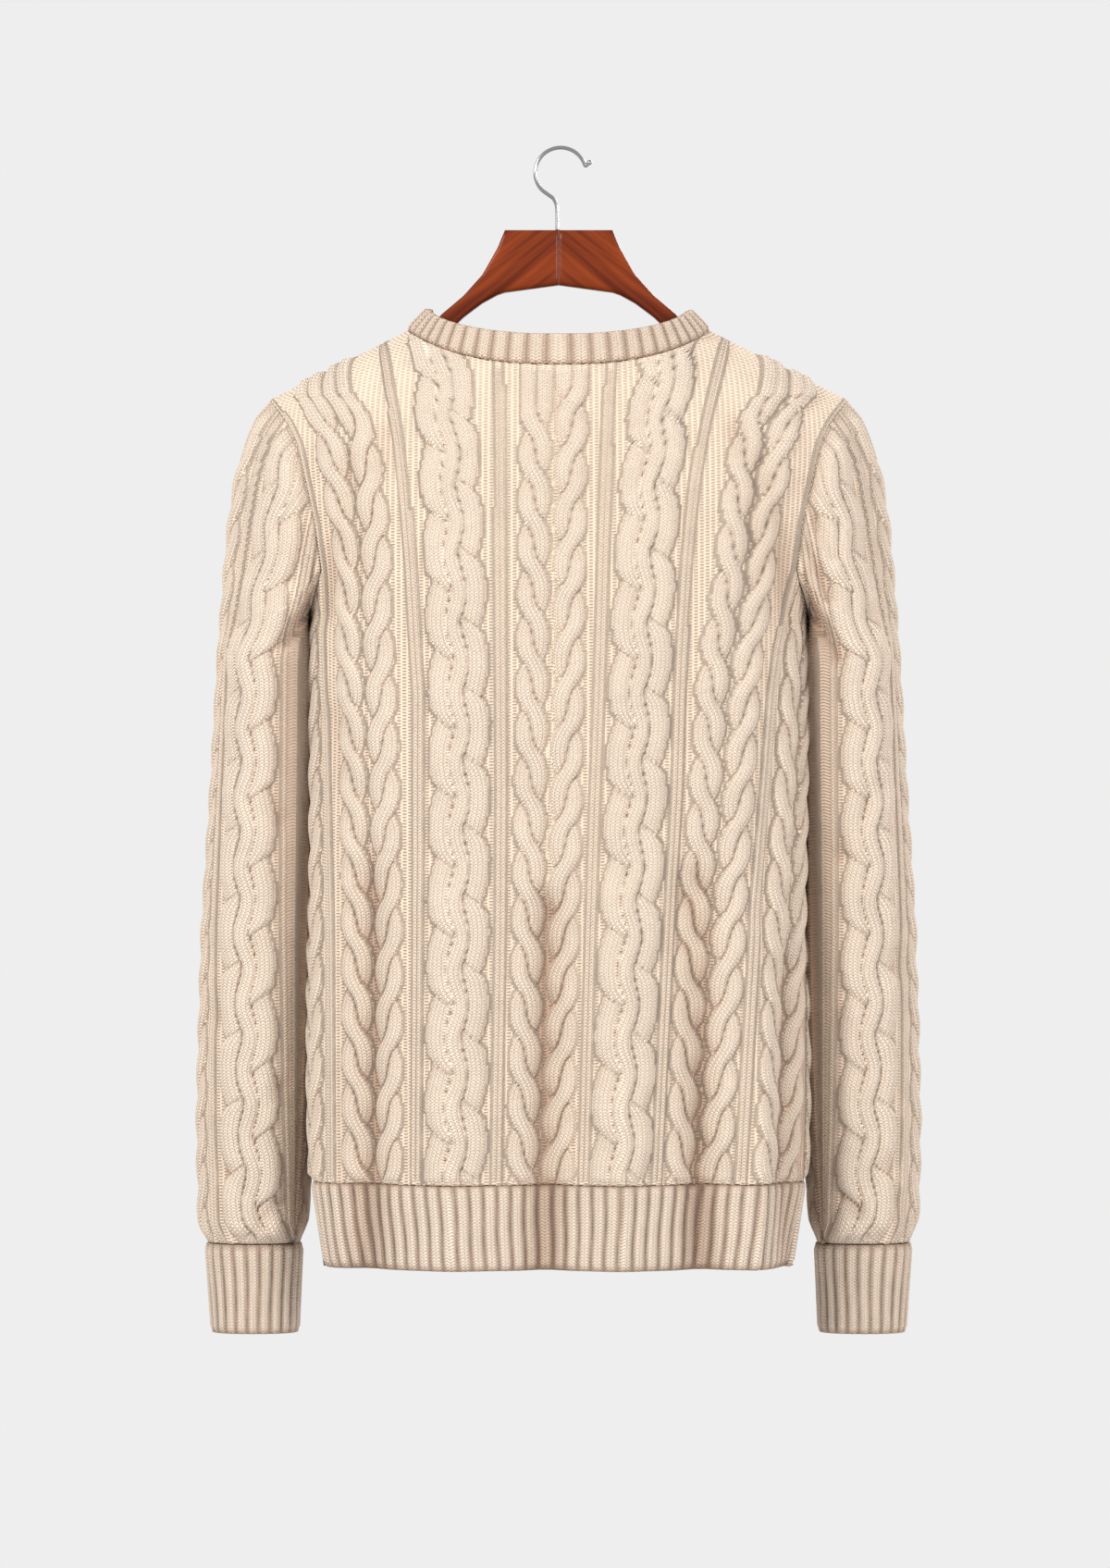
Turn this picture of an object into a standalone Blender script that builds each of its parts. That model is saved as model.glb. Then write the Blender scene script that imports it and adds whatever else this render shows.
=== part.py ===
"""Cable knit sweater, filled out as if worn, on a wooden hanger with a steel hook.

Frame: the origin is the inner top of the hook, where a rail carries it. +Z is up, the back of the
sweater faces -Y, and +X is the right hand side when the back is looked at. Lengths are in metres.

Every knitted piece is a closed wall. Its base surface is worked out from the tables of sizes below,
the cables and ribs are raised in the outer points, and the inside is plain.
"""
import math

import bmesh
import bpy
import numpy as np

MM = 0.001
OBJECT_NAME = "cable_knit_sweater_on_hanger"

# Cloth
WALL = 3.0 * MM
SEAM_GAP = 0.3 * MM
ROPE_WIDTH = 24.0 * MM
ROPE_RISE = 6.0 * MM
ROPE_CROSSING = 33.7 * MM
PAIR_SPREAD = 13.0 * MM
PLAIT_WIDTH = 45.0 * MM
PLAIT_RISE = 6.5 * MM
PLAIT_CROSSING = 50.0 * MM
RIB_RISE = 2.5 * MM
SIDE_PAIR = 33.0 * MM
FLUTE_DEPTH = 5.0 * MM
SECTION_POWER = 2.8

# Heights and corners
HEM_TOP = -760.6 * MM
HEM_BOTTOM = -822.5 * MM
UNDERARM = -345.0 * MM
SCOOP = -312.5 * MM
TIP_X = 212.0 * MM
TIP_Z = -187.0 * MM
NECK_X = 110.0 * MM
NECK_Z = -135.7 * MM
BACK_NECK = -161.2 * MM
FRONT_NECK = -216.0 * MM
SLEEVE_RING = -380.0 * MM
CUFF_TOP = -808.3 * MM
CUFF_BOTTOM = -874.5 * MM

# Body sections (mm): height, half width, and depth behind and in front of the side line
BODY = {
    "height": (-822.5, -760.6, -700.0, -573.0, -471.0, -400.0, -345.0, -300.0, -250.0, -210.0, -187.0, -120.0),
    "half_width": (170.0, 179.5, 181.0, 181.0, 181.0, 181.5, 182.0, 188.0, 202.0, 226.0, 246.0, 290.0),
    "back": (74.0, 80.0, 84.0, 88.0, 92.0, 95.0, 96.0, 96.0, 96.0, 96.0, 96.0, 96.0),
    "front": (77.0, 84.0, 88.0, 93.0, 99.0, 103.0, 104.0, 103.0, 102.0, 100.0, 98.0, 96.0),
}
# Thin ribs of the back (mm from the middle); the outer two become the edges of the armholes
RIBS = {
    "height": (-760.6, -573.0, -471.0, -403.0, -369.0, -312.5, -280.0, -250.0, -220.7, -204.4, -187.0, -135.0),
    "left_3": (-165.9, -166.5, -168.6, -171.0, -172.0, -173.4, -176.8, -183.6, -190.4, -198.6, -212.0, -240.0),
    "left_2": (-103.4, -102.0, -102.0, -101.7, -104.0, -107.4, -110.0, -112.5, -116.0, -118.5, -122.0, -131.0),
    "left_1": (-45.5, -42.2, -41.5, -41.8, -42.0, -42.3, -42.7, -43.0, -43.2, -43.3, -43.4, -43.8),
    "right_1": (18.0, 23.1, 26.5, 29.2, 30.3, 32.0, 33.0, 34.2, 35.4, 36.0, 36.8, 39.0),
    "right_2": (70.5, 80.0, 85.7, 87.5, 89.0, 92.5, 95.5, 99.0, 104.0, 107.0, 111.0, 124.0),
    "right_3": (131.5, 141.0, 149.6, 155.0, 159.8, 173.4, 176.8, 183.6, 190.4, 198.6, 212.0, 240.0),
}
# Sleeve sections (mm): outer and inner reach, half depth, and how far forward it hangs
SLEEVE = {
    "height": (-874.5, -808.3, -792.0, -720.0, -641.0, -573.0, -471.0, -380.0),
    "outer": (255.0, 259.5, 263.0, 264.0, 262.0, 259.5, 252.5, 247.0),
    "inner": (194.5, 191.5, 189.0, 188.0, 186.0, 183.0, 181.0, 180.0),
    "half_depth": (31.0, 36.0, 42.0, 45.0, 49.0, 53.0, 59.0, 63.0),
    "forward": (46.0, 44.0, 43.0, 38.0, 32.0, 26.0, 16.0, 8.0),
}
# Soft flutes of the lower body (mm from the middle of the back; out is a share of their depth)
FLUTES = {
    "place": (-186.0, -139.0, -78.0, -10.0, 45.0, 103.0, 143.0, 167.0, 186.0),
    "out": (0.0, -1.0, 0.8, -1.0, 0.8, -1.0, 0.8, -0.8, 0.0),
}


def look(table, column, height):
    """Value of a table's column, in metres, at heights in metres."""
    return np.interp(np.asarray(height) / MM, table["height"], table[column]) * MM


def ridge(x):
    """Height of the shoulder ridge, carried on past the neck and the tip."""
    return NECK_Z - (NECK_Z - TIP_Z) / (TIP_X - NECK_X) * (np.abs(x) - NECK_X)


def neck_line(x, front):
    """Height of the seam under the neck band, level in the middle and rising to the ridge."""
    low = FRONT_NECK if front else BACK_NECK
    share = np.clip(np.abs(x) / NECK_X, 0.0, 1.0)
    return NECK_Z - (NECK_Z - low) * (1.0 - share ** 2.4) ** 0.77


def body_point(angle, height):
    """Base surface of the body: a superellipse ring, drawn in to the shoulder ridge.

    The angle is 0 at the middle of the back and +90 degrees at the right side. The depth is scaled
    by (1 - climb^2.6)^0.625, where climb is the share of the way from the underarm to the ridge.
    """
    angle, height = np.broadcast_arrays(angle, height)
    back = np.cos(angle) > 0.0
    half = look(BODY, "half_width", height)
    depth = np.where(back, look(BODY, "back", height), look(BODY, "front", height))
    ring = np.abs(np.sin(angle)) ** SECTION_POWER + np.abs(np.cos(angle)) ** SECTION_POWER
    reach = ring ** (-1.0 / SECTION_POWER)
    x = half * reach * np.sin(angle)
    climb = np.clip((height - UNDERARM) / (ridge(x) - UNDERARM), 0.0, 1.0)
    y = -depth * reach * np.cos(angle) * (1.0 - climb ** 2.6) ** 0.625
    low = np.clip((SCOOP - height) / (SCOOP - HEM_TOP), 0.0, 1.0) ** 1.5
    flute = np.interp(np.where(back, x, -x) / MM, FLUTES["place"], FLUTES["out"]) * FLUTE_DEPTH * low
    return np.stack([x, y - np.where(back, flute, -flute), height], axis=-1)


def body_normal(angle, height):
    """Outward normal of the body's base surface, from two short steps on it."""
    step = 1.0 * MM
    turn = body_point(angle + 0.01, height) - body_point(angle - 0.01, height)
    rise = body_point(angle, height) - body_point(angle, height - step)
    normal = np.cross(turn, rise)
    return normal / np.linalg.norm(normal, axis=-1, keepdims=True)


# Arc length round the body at each level, so that the cloth keeps its width round the sides
LEVELS = np.linspace(-830.0 * MM, -122.0 * MM, 178)
TURNS = np.linspace(-math.pi, math.pi, 721)
ROUND = body_point(TURNS[None, :], LEVELS[:, None])
STEPS = np.hypot(np.diff(ROUND[..., 0], axis=1), np.diff(ROUND[..., 1], axis=1))
ARCS = np.concatenate([np.zeros((len(LEVELS), 1)), np.cumsum(STEPS, axis=1)], axis=1)
ARCS = ARCS - ARCS[:, 360][:, None]
HALF_ROUND = ARCS[:, -1]
BACK_HALF = slice(180, 541)


def angle_of_arc(arc, height):
    """Ring angle at an arc length from the middle of the back, blended between two levels."""
    place = np.clip((height - LEVELS[0]) / (LEVELS[1] - LEVELS[0]), 0, len(LEVELS) - 1.001)
    level = int(place)
    low = np.interp(arc, ARCS[level], TURNS)
    high = np.interp(arc, ARCS[level + 1], TURNS)
    return low + (high - low) * (place - level)


def arc_of_x(x, height):
    """Arc length from the middle of the back to a place x on the back half."""
    level = int(np.clip((height - LEVELS[0]) / (LEVELS[1] - LEVELS[0]), 0, len(LEVELS) - 2))
    return float(np.interp(x, ROUND[level, BACK_HALF, 0], ARCS[level, BACK_HALF]))


def rib_arcs(height):
    """Arc place of every thin rib and of both side seams at one height."""
    arcs = {name: arc_of_x(look(RIBS, name, height), height) for name in RIBS if name != "height"}
    quarter = 0.5 * (arc_of_x(1.0, height) - arc_of_x(-1.0, height))
    spare = quarter - 0.5 * (arcs["right_3"] - arcs["left_3"])
    arcs["seam_left"] = arcs["left_3"] - spare
    arcs["seam_right"] = arcs["right_3"] + spare
    return arcs


# ---------------------------------------------------------------- knitted pattern
def rope_height(across, along, slant):
    """Two round strands that swap sides every ROPE_CROSSING, the upper one running with the slant."""
    rise = 0.0
    for start in (0.0, math.pi):
        turn = math.pi * along / ROPE_CROSSING + start
        middle = slant * 0.26 * ROPE_WIDTH * math.cos(turn)
        top = (0.7 - 0.3 * math.sin(turn)) * ROPE_RISE
        width = 0.27 * ROPE_WIDTH
        rise = max(rise, top * math.sqrt(max(0.0, 1.0 - ((across - middle) / width) ** 2)))
    return rise


def plait_height(across, along):
    """Three strands that cross in turn; the one that runs down to the right lies on top."""
    rise = 0.0
    for strand in range(3):
        turn = 2.0 * math.pi * (along / (3.0 * PLAIT_CROSSING) + strand / 3.0)
        middle = 0.33 * PLAIT_WIDTH * math.sin(turn)
        top = (0.75 - 0.25 * math.cos(turn)) * PLAIT_RISE
        width = 0.19 * PLAIT_WIDTH
        rise = max(rise, top * math.sqrt(max(0.0, 1.0 - ((across - middle) / width) ** 2)))
    return rise


# One grid column is (gap, place in the gap, kind, place in the cable, slant, height of a crossing)
ROPE_PLACES = (-0.5, -0.25, 0.0, 0.25, 0.5)
UNDER_PLACES = (-0.5, 0.0, 0.5)
PLAIT_PLACES = (-0.5, -0.3, 0.0, 0.3, 0.5)
PHASES = {
    "left_side": (-568.0 * MM, -575.0 * MM),
    "left_outer": (-567.0 * MM, -574.0 * MM),
    "centre": (-532.0 * MM, -547.0 * MM),
    "right_outer": (-532.0 * MM, -549.0 * MM),
    "right_side": (-540.0 * MM, -556.0 * MM),
}
PLAIT_LEVEL = -513.0 * MM


def rope_pair(gap, places=ROPE_PLACES):
    """Columns of two ropes with opposite slants; the ground between them is one shared column."""
    columns = []
    for side, slant, level in ((-1, -1, PHASES[gap][0]), (1, 1, PHASES[gap][1])):
        for share in places if side < 0 else places[1:]:
            place = side * PAIR_SPREAD + share * ROPE_WIDTH
            columns.append((gap, place, "rope", share * ROPE_WIDTH, slant, level))
    return columns


def plait(gap):
    """Columns of a plait."""
    return [(gap, share * PLAIT_WIDTH, "plait", share * PLAIT_WIDTH, 0, PLAIT_LEVEL) for share in PLAIT_PLACES]


def single(gap, kind):
    """One column on a rib's crest or on the plain ground."""
    return [(gap, 0.0, kind, 0.0, 0, PLAIT_LEVEL)]


def cable_height(column, height):
    """Height of the knitting over its ground."""
    kind, across, slant, level = column[2:]
    if kind == "rope":
        return rope_height(across, height - level, slant)
    if kind == "plait":
        return plait_height(across, height - level)
    return RIB_RISE if kind == "rib" else 0.0


PANEL = (
    single("seam_left", "ground") + rope_pair("left_side", UNDER_PLACES)
    + single("left_3", "rib") + rope_pair("left_outer") + single("left_2", "rib") + plait("left_plait")
    + single("left_1", "rib") + rope_pair("centre") + single("right_1", "rib") + plait("right_plait")
    + single("right_2", "rib") + rope_pair("right_outer") + single("right_3", "rib")
    + rope_pair("right_side", UNDER_PLACES) + single("seam_right", "ground")
)
SIDE_COLUMNS = 6
ARMHOLE_COLUMNS = (SIDE_COLUMNS, len(PANEL) - 1 - SIDE_COLUMNS)
NECK_TRIM = 2.4 * MM
UNDERARM_FADE = 45.0 * MM
NECK_ENDS = (("left_plait", -0.5 * PLAIT_WIDTH), ("right_plait", 0.5 * PLAIT_WIDTH))
NECK_COLUMNS = [index for index, column in enumerate(PANEL) if column[:2] in NECK_ENDS]
LOW_ROWS = 27
HIGH_ROWS = 8
GAPS = {
    "left_outer": ("left_3", "left_2"),
    "left_plait": ("left_2", "left_1"),
    "centre": ("left_1", "right_1"),
    "right_plait": ("right_1", "right_2"),
    "right_outer": ("right_2", "right_3"),
}


def column_arc(column, arcs):
    """Arc place of a column at a height whose rib places are known."""
    gap, place = column[0], column[1]
    if gap in arcs:
        return arcs[gap]
    if gap in GAPS:
        first, last = (arcs[name] for name in GAPS[gap])
        room = min(1.0, 0.46 * (last - first) / (abs(PAIR_SPREAD) + 0.5 * ROPE_WIDTH))
        return 0.5 * (first + last) + place * room
    side = 1.0 if gap == "right_side" else -1.0
    rib = arcs["right_3"] if side > 0 else arcs["left_3"]
    seam = arcs["seam_right"] if side > 0 else arcs["seam_left"]
    room = abs(seam - rib) / (2.0 * SIDE_PAIR)
    return rib + side * SIDE_PAIR * room + place * room


def node_angle(column, height, front):
    """Ring angle of a column at a height, on the back or mirrored round to the front."""
    arcs = rib_arcs(height)
    arc = column_arc(column, arcs)
    seam = arcs["seam_right"] if arc > 0.0 else arcs["seam_left"]
    inset = 0.5 * SEAM_GAP
    if abs(arc) > abs(seam) - inset and height < UNDERARM + inset:
        arc = math.copysign(abs(seam) - inset, arc)
    if not front:
        return angle_of_arc(arc, height)
    half = float(np.interp(height, LEVELS, HALF_ROUND))
    other = half - abs(seam)
    reach = other * abs(arc) / (abs(seam) - inset) if abs(seam) > inset else 0.0
    return angle_of_arc(math.copysign(half - min(reach, other - inset), arc), height)


def column_heights(index, front):
    """Heights of one column's nodes from the hem up; only the middle columns pass the underarm."""
    column = PANEL[index]
    away = min(index, len(PANEL) - 1 - index)
    side = away < SIDE_COLUMNS
    share = 1.0 - away / SIDE_COLUMNS if side else 0.0
    low_top = SCOOP + (UNDERARM - SCOOP) * math.sin(0.5 * math.pi * share)
    low = np.linspace(HEM_TOP, low_top, LOW_ROWS + 1)
    half_turn = 0.5 * ROPE_CROSSING
    snapped = column[5] + half_turn * np.round((low - column[5]) / half_turn)
    low[2:-2] += 0.8 * (snapped - low)[2:-2]
    if side:
        return np.concatenate([low, np.full(HIGH_ROWS, np.nan)])
    top = TIP_Z
    for _ in range(8):
        x = column_x(index, top, front)
        top = neck_line(x, front) if abs(x) < NECK_X else ridge(x)
    if away == SIDE_COLUMNS:
        top = TIP_Z
    rise = np.linspace(0.0, 1.0, HIGH_ROWS + 1)
    steep = min(1.0, abs(x) / NECK_X) ** 3
    rise = (1.0 - steep) * rise + steep * (0.3 * rise + 0.7 * np.sin(0.5 * math.pi * rise))
    return np.concatenate([low, (SCOOP + (top - SCOOP) * rise)[1:]])


def column_x(index, height, front):
    """Place x of a column at a height."""
    level = min(height, -136.0 * MM)
    return float(body_point(node_angle(PANEL[index], level, front), level)[0])


def panel_nodes(columns, rows, front, relief):
    """Nodes of a panel on the base surface, with their normals, for the columns and rows asked for."""
    points = np.full((len(rows), len(columns), 3), np.nan)
    normals = np.full((len(rows), len(columns), 3), np.nan)
    lift = np.zeros((len(rows), len(columns), 1))
    for j, index in enumerate(columns):
        heights = column_heights(index, front)
        for i, row in enumerate(rows):
            height = heights[row]
            if np.isnan(height):
                continue
            top = row == LOW_ROWS + HIGH_ROWS
            trim = NECK_TRIM if top and relief == 0.0 else 0.0
            if NECK_COLUMNS[0] < index < NECK_COLUMNS[1]:
                height -= trim
            angle = node_angle(PANEL[index], height, front)
            points[i, j] = body_point(angle, height)
            normals[i, j] = body_normal(angle, height)
            if top and index in NECK_COLUMNS:
                points[i, j] = (math.copysign(NECK_X, points[i, j, 0]), 0.0, NECK_Z - trim)
            if top and index in ARMHOLE_COLUMNS:
                points[i, j] = (math.copysign(TIP_X, points[i, j, 0]), 0.0, TIP_Z)
            fade = 0.0 if top or row == 0 else relief
            if min(index, len(PANEL) - 1 - index) < SIDE_COLUMNS:
                fade *= min(1.0, (heights[LOW_ROWS] - height) / UNDERARM_FADE)
            lift[i, j] = cable_height(PANEL[index], height) * fade
    return points, normals, lift


# ---------------------------------------------------------------- closed walls
def clear_scene():
    """Remove every object of the file."""
    for item in list(bpy.data.objects):
        bpy.data.objects.remove(item, do_unlink=True)


def make_material(name, colour, roughness, metallic=0.0):
    """A plain Principled material."""
    material = bpy.data.materials.new(name)
    material.use_nodes = True
    shader = material.node_tree.nodes["Principled BSDF"]
    shader.inputs["Base Color"].default_value = (*colour, 1.0)
    shader.inputs["Roughness"].default_value = roughness
    shader.inputs["Metallic"].default_value = metallic
    return material


def finish_mesh(name, mesh_data, collection, material):
    """Put a bmesh in the collection as an object whose faces point outwards."""
    bmesh.ops.recalc_face_normals(mesh_data, faces=mesh_data.faces)
    if mesh_data.calc_volume(signed=True) < 0.0:
        bmesh.ops.reverse_faces(mesh_data, faces=mesh_data.faces)
    mesh = bpy.data.meshes.new(name)
    mesh_data.to_mesh(mesh)
    mesh_data.free()
    mesh.shade_smooth()
    mesh.set_sharp_from_angle(angle=math.radians(50.0))
    mesh.materials.append(material)
    item = bpy.data.objects.new(name, mesh)
    collection.objects.link(item)
    return item


def add_grid(mesh_data, points, wrap=False):
    """Faces over a grid of points, split along the flatter diagonal; rows with no number are left out."""
    rows, columns = points.shape[:2]
    verts = [[None] * columns for _ in range(rows)]
    for i in range(rows):
        for j in range(columns):
            if not np.isnan(points[i, j, 0]):
                verts[i][j] = mesh_data.verts.new(points[i, j])
    for i in range(rows - 1):
        for j in range(columns if wrap else columns - 1):
            k = (j + 1) % columns
            corners = (verts[i][j], verts[i][k], verts[i + 1][k], verts[i + 1][j])
            if None in corners:
                continue
            a, b, c, d = corners
            if (a.co - c.co).length <= (b.co - d.co).length:
                mesh_data.faces.new((a, b, c))
                mesh_data.faces.new((a, c, d))
            else:
                mesh_data.faces.new((a, b, d))
                mesh_data.faces.new((b, c, d))
    return verts


def zip_edge(mesh_data, first, second, evenly=False):
    """Join two rows of vertices that run side by side.

    Each step takes the shorter of the two next diagonals, or the row that lags behind when both
    rows are spaced evenly.
    """
    i = 0
    j = 0
    while i < len(first) - 1 or j < len(second) - 1:
        if evenly:
            along_first = (i + 1) / max(1, len(first) - 1)
            along_second = (j + 1) / max(1, len(second) - 1)
        else:
            along_first = (first[min(i + 1, len(first) - 1)].co - second[j].co).length
            along_second = (first[i].co - second[min(j + 1, len(second) - 1)].co).length
        if j == len(second) - 1 or (i < len(first) - 1 and along_first <= along_second):
            mesh_data.faces.new((first[i], first[i + 1], second[j]))
            i += 1
        else:
            mesh_data.faces.new((first[i], second[j + 1], second[j]))
            j += 1


def panel_edges(verts, columns, rows):
    """The sides of a panel's T-shaped grid, each as a row of vertices, corner to corner."""
    low = rows.index(LOW_ROWS)
    left = columns.index(SIDE_COLUMNS)
    right = columns.index(len(PANEL) - 1 - SIDE_COLUMNS)
    last = len(columns) - 1
    top = len(rows) - 1
    return (
        verts[0],
        [verts[i][last] for i in range(low + 1)],
        [verts[low][j] for j in range(last, right - 1, -1)],
        [verts[i][right] for i in range(low, top + 1)],
        [verts[top][j] for j in range(right, left - 1, -1)],
        [verts[i][left] for i in range(top, low - 1, -1)],
        [verts[low][j] for j in range(left, -1, -1)],
        [verts[i][0] for i in range(low, -1, -1)],
    )


def inner_columns():
    """Every second column for the plain inside, with the corners and the curved ends of the neck kept."""
    count = len(PANEL)
    left, right = NECK_COLUMNS
    curve = [left, left + 2, left + 4, right - 4, right - 2, right]
    return sorted(set(list(range(0, count, 2)) + list(ARMHOLE_COLUMNS) + [count - 1] + curve))


def build_panel(name, front, collection, material):
    """Front or back: cables outside, plain inside, rims round hem, seams, armholes, shoulders and neck."""
    mesh_data = bmesh.new()
    all_columns = list(range(len(PANEL)))
    all_rows = list(range(LOW_ROWS + HIGH_ROWS + 1))
    base, base_normals, lift = panel_nodes(all_columns, all_rows, front, 1.0)
    outer = base + base_normals * lift
    few_columns = inner_columns()
    few_rows = list(range(0, LOW_ROWS, 6)) + list(range(LOW_ROWS, all_rows[-1] + 1))
    base, normals, lift = panel_nodes(few_columns, few_rows, front, 0.0)
    inner = base - normals * WALL
    side = 1.0 if front else -1.0
    for points in (outer, inner):
        high = points[..., 2] > UNDERARM
        depth = np.maximum(side * points[..., 1], 0.5 * SEAM_GAP)
        points[..., 1] = np.where(high, side * depth, points[..., 1])
    outer_verts = add_grid(mesh_data, outer)
    inner_verts = add_grid(mesh_data, inner)
    outside = panel_edges(outer_verts, all_columns, all_rows)
    inside = panel_edges(inner_verts, few_columns, few_rows)
    for first, second in zip(outside, inside):
        zip_edge(mesh_data, first, second)
    finish_mesh(name, mesh_data, collection, material)
    return outer, base_normals


# ---------------------------------------------------------------- sleeves
def body_reach(y, height):
    """How far out a sleeve has to stay at a depth y, so that both walls keep their cables."""
    half = look(BODY, "half_width", height) + SLEEVE_CLEARANCE
    depth = np.where(y < 0.0, look(BODY, "back", height), look(BODY, "front", height)) + SLEEVE_CLEARANCE
    share = np.clip(np.abs(y) / depth, 0.0, 1.0)
    return half * (1.0 - share ** SECTION_POWER) ** (1.0 / SECTION_POWER)


SLEEVE_CLEARANCE = 11.0 * MM
SLEEVE_POWER = 2.3
AROUND_SLEEVE = np.linspace(0.0, math.pi, 181)


def sleeve_half_ring(height, front):
    """Half ring of the right sleeve from its outer line to the underarm line, pressed flat by the body."""
    outer, inner = look(SLEEVE, "outer", height), look(SLEEVE, "inner", height)
    middle, half = 0.5 * (outer + inner), 0.5 * (outer - inner)
    side = 1.0 if front else -1.0
    sine = np.abs(np.sin(AROUND_SLEEVE))
    cosine = np.abs(np.cos(AROUND_SLEEVE))
    reach = (sine ** SLEEVE_POWER + cosine ** SLEEVE_POWER) ** (-1.0 / SLEEVE_POWER)
    x = middle + half * reach * np.cos(AROUND_SLEEVE)
    y = look(SLEEVE, "forward", height) + side * look(SLEEVE, "half_depth", height) * reach * sine
    if height > HEM_BOTTOM - 20.0 * MM:
        x = np.maximum(x, body_reach(y, height))
    return np.stack([x, y], axis=-1)


def sleeve_columns(half_length):
    """Columns of half a sleeve: half a rope pair, rib, plait, rib and half the underarm pair."""
    outer_pair = [(share, "rope", share - PAIR_SPREAD, -1, -560.0 * MM) for share in
                  (PAIR_SPREAD + place * ROPE_WIDTH for place in ROPE_PLACES[1:])]
    outer_pair.insert(0, (0.0, "ground", 0.0, 0, PLAIT_LEVEL))
    rib_place = 2.0 * PAIR_SPREAD + 8.0 * MM
    plait_place = rib_place + 8.0 * MM + 0.5 * PLAIT_WIDTH
    plait_columns = [(plait_place + share * PLAIT_WIDTH, "plait", share * PLAIT_WIDTH, 0, PLAIT_LEVEL)
                     for share in PLAIT_PLACES]
    second_rib = plait_place + 0.5 * PLAIT_WIDTH + 8.0 * MM
    under = half_length - PAIR_SPREAD
    under_pair = [(under + share * ROPE_WIDTH, "rope", share * ROPE_WIDTH, 1, -556.0 * MM)
                  for share in UNDER_PLACES]
    under_pair[-1] = (half_length, "ground", 0.0, 0, PLAIT_LEVEL)
    return (outer_pair + [(rib_place, "rib", 0.0, 0, PLAIT_LEVEL)] + plait_columns
            + [(second_rib, "rib", 0.0, 0, PLAIT_LEVEL)] + under_pair)


SLEEVE_ROWS = 25
CAP_ROWS = 7
# Row at the elbow, where a sleeve's two solids meet, and the rows kept on the plain inside
ELBOW_ROW = 15
UPPER_INNER_ROWS = (0, 1, 3, 7, 11, 15)
LOWER_INNER_ROWS = (15, 19, 23, 28, 32)
CUFF_GAP = 0.3 * MM
# How strongly the sleeve head leaves the armhole, at the shoulder tip and at the underarm (mm)
HEAD = {
    "end": (0.0, 1.0),
    "outward": (95.0, 30.0),
    "upward": (-120.0, -25.0),
}
HEAD_SWELL = 30.0 * MM
HEAD_LEAN = 12.0 * MM
HEAD_DROP = 1.15
HEAD_HALF_LENGTH = 160.0 * MM


def armhole_nodes(outer, right):
    """Edge of one armhole on a finished panel, from the shoulder tip to the underarm."""
    count = len(PANEL)
    corner = count - 1 - SIDE_COLUMNS if right else SIDE_COLUMNS
    going = range(corner + 1, count) if right else range(corner - 1, -1, -1)
    upper = [outer[row, corner] for row in range(LOW_ROWS + HIGH_ROWS, LOW_ROWS - 1, -1)]
    return np.array(upper + [outer[LOW_ROWS, index] for index in going])


def sleeve_half(edge, front, mirror):
    """Base points and cable heights of half a sleeve, from the armhole to the cuff, as rows of columns."""
    heights = np.linspace(SLEEVE_RING, CUFF_TOP + CUFF_GAP, SLEEVE_ROWS + 1)
    rows = []
    lifts = []
    for height in heights:
        ring = sleeve_half_ring(height, front)
        arc = np.concatenate([[0.0], np.cumsum(np.hypot(*np.diff(ring, axis=0).T))])
        columns = sleeve_columns(arc[-1])
        places = np.array([column[0] for column in columns])
        x = np.interp(places, arc, ring[:, 0])
        y = np.interp(places, arc, ring[:, 1])
        rows.append(np.stack([x, y, np.full(len(places), height)], axis=-1))
        facing = np.clip((x - look(SLEEVE, "inner", height)) / (30.0 * MM), 0.4, 1.0)
        raised = [cable_height((None, None) + column[1:], height) for column in columns]
        lifts.append(np.array(raised) * facing)
    start = edge * np.array([mirror, 1.0, 1.0])
    share = np.linspace(0.0, 1.0, len(start))[:, None]
    first, last = start, rows[0]
    outward = np.interp(share, HEAD["end"], HEAD["outward"]) * MM
    upward = np.interp(share, HEAD["end"], HEAD["upward"]) * MM
    swell = (HEAD_SWELL if front else -HEAD_SWELL) * np.sin(math.pi * share)
    leave = np.concatenate([outward, swell, upward], axis=1)
    drop = (first[:, 2] - last[:, 2])[:, None]
    arrive = np.concatenate([HEAD_LEAN * (1.0 - share), 0.0 * share, -HEAD_DROP * drop], axis=1)
    cap = []
    cap_lifts = []
    for row in range(CAP_ROWS):
        q = row / CAP_ROWS
        point = ((2 * q ** 3 - 3 * q ** 2 + 1) * first + (q ** 3 - 2 * q ** 2 + q) * leave
                 + (3 * q ** 2 - 2 * q ** 3) * last + (q ** 3 - q ** 2) * arrive)
        cap.append(point)
        columns = sleeve_columns(HEAD_HALF_LENGTH)
        raised = [cable_height((None, None) + column[1:], point[j, 2]) for j, column in enumerate(columns)]
        cap_lifts.append(np.array(raised) * min(1.0, row / 2.0) * np.clip(1.0 - 0.6 * share[:, 0], 0.4, 1.0))
    points = np.array(cap + rows)
    raised = np.array(cap_lifts + lifts)
    raised[-1] = 0.0
    points[0, :, 0] += SEAM_GAP
    return points * np.array([mirror, 1.0, 1.0]), raised


def grid_normals(points, centre):
    """Normals of a ring grid from central differences, pointing away from the ring's middle."""
    along = np.gradient(points, axis=0)
    around = 0.5 * (np.roll(points, -1, axis=1) - np.roll(points, 1, axis=1))
    normal = np.cross(around, along)
    normal = normal / np.linalg.norm(normal, axis=-1, keepdims=True)
    away = np.sum(normal * (points - centre), axis=-1).mean()
    return normal if away > 0.0 else -normal


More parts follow.
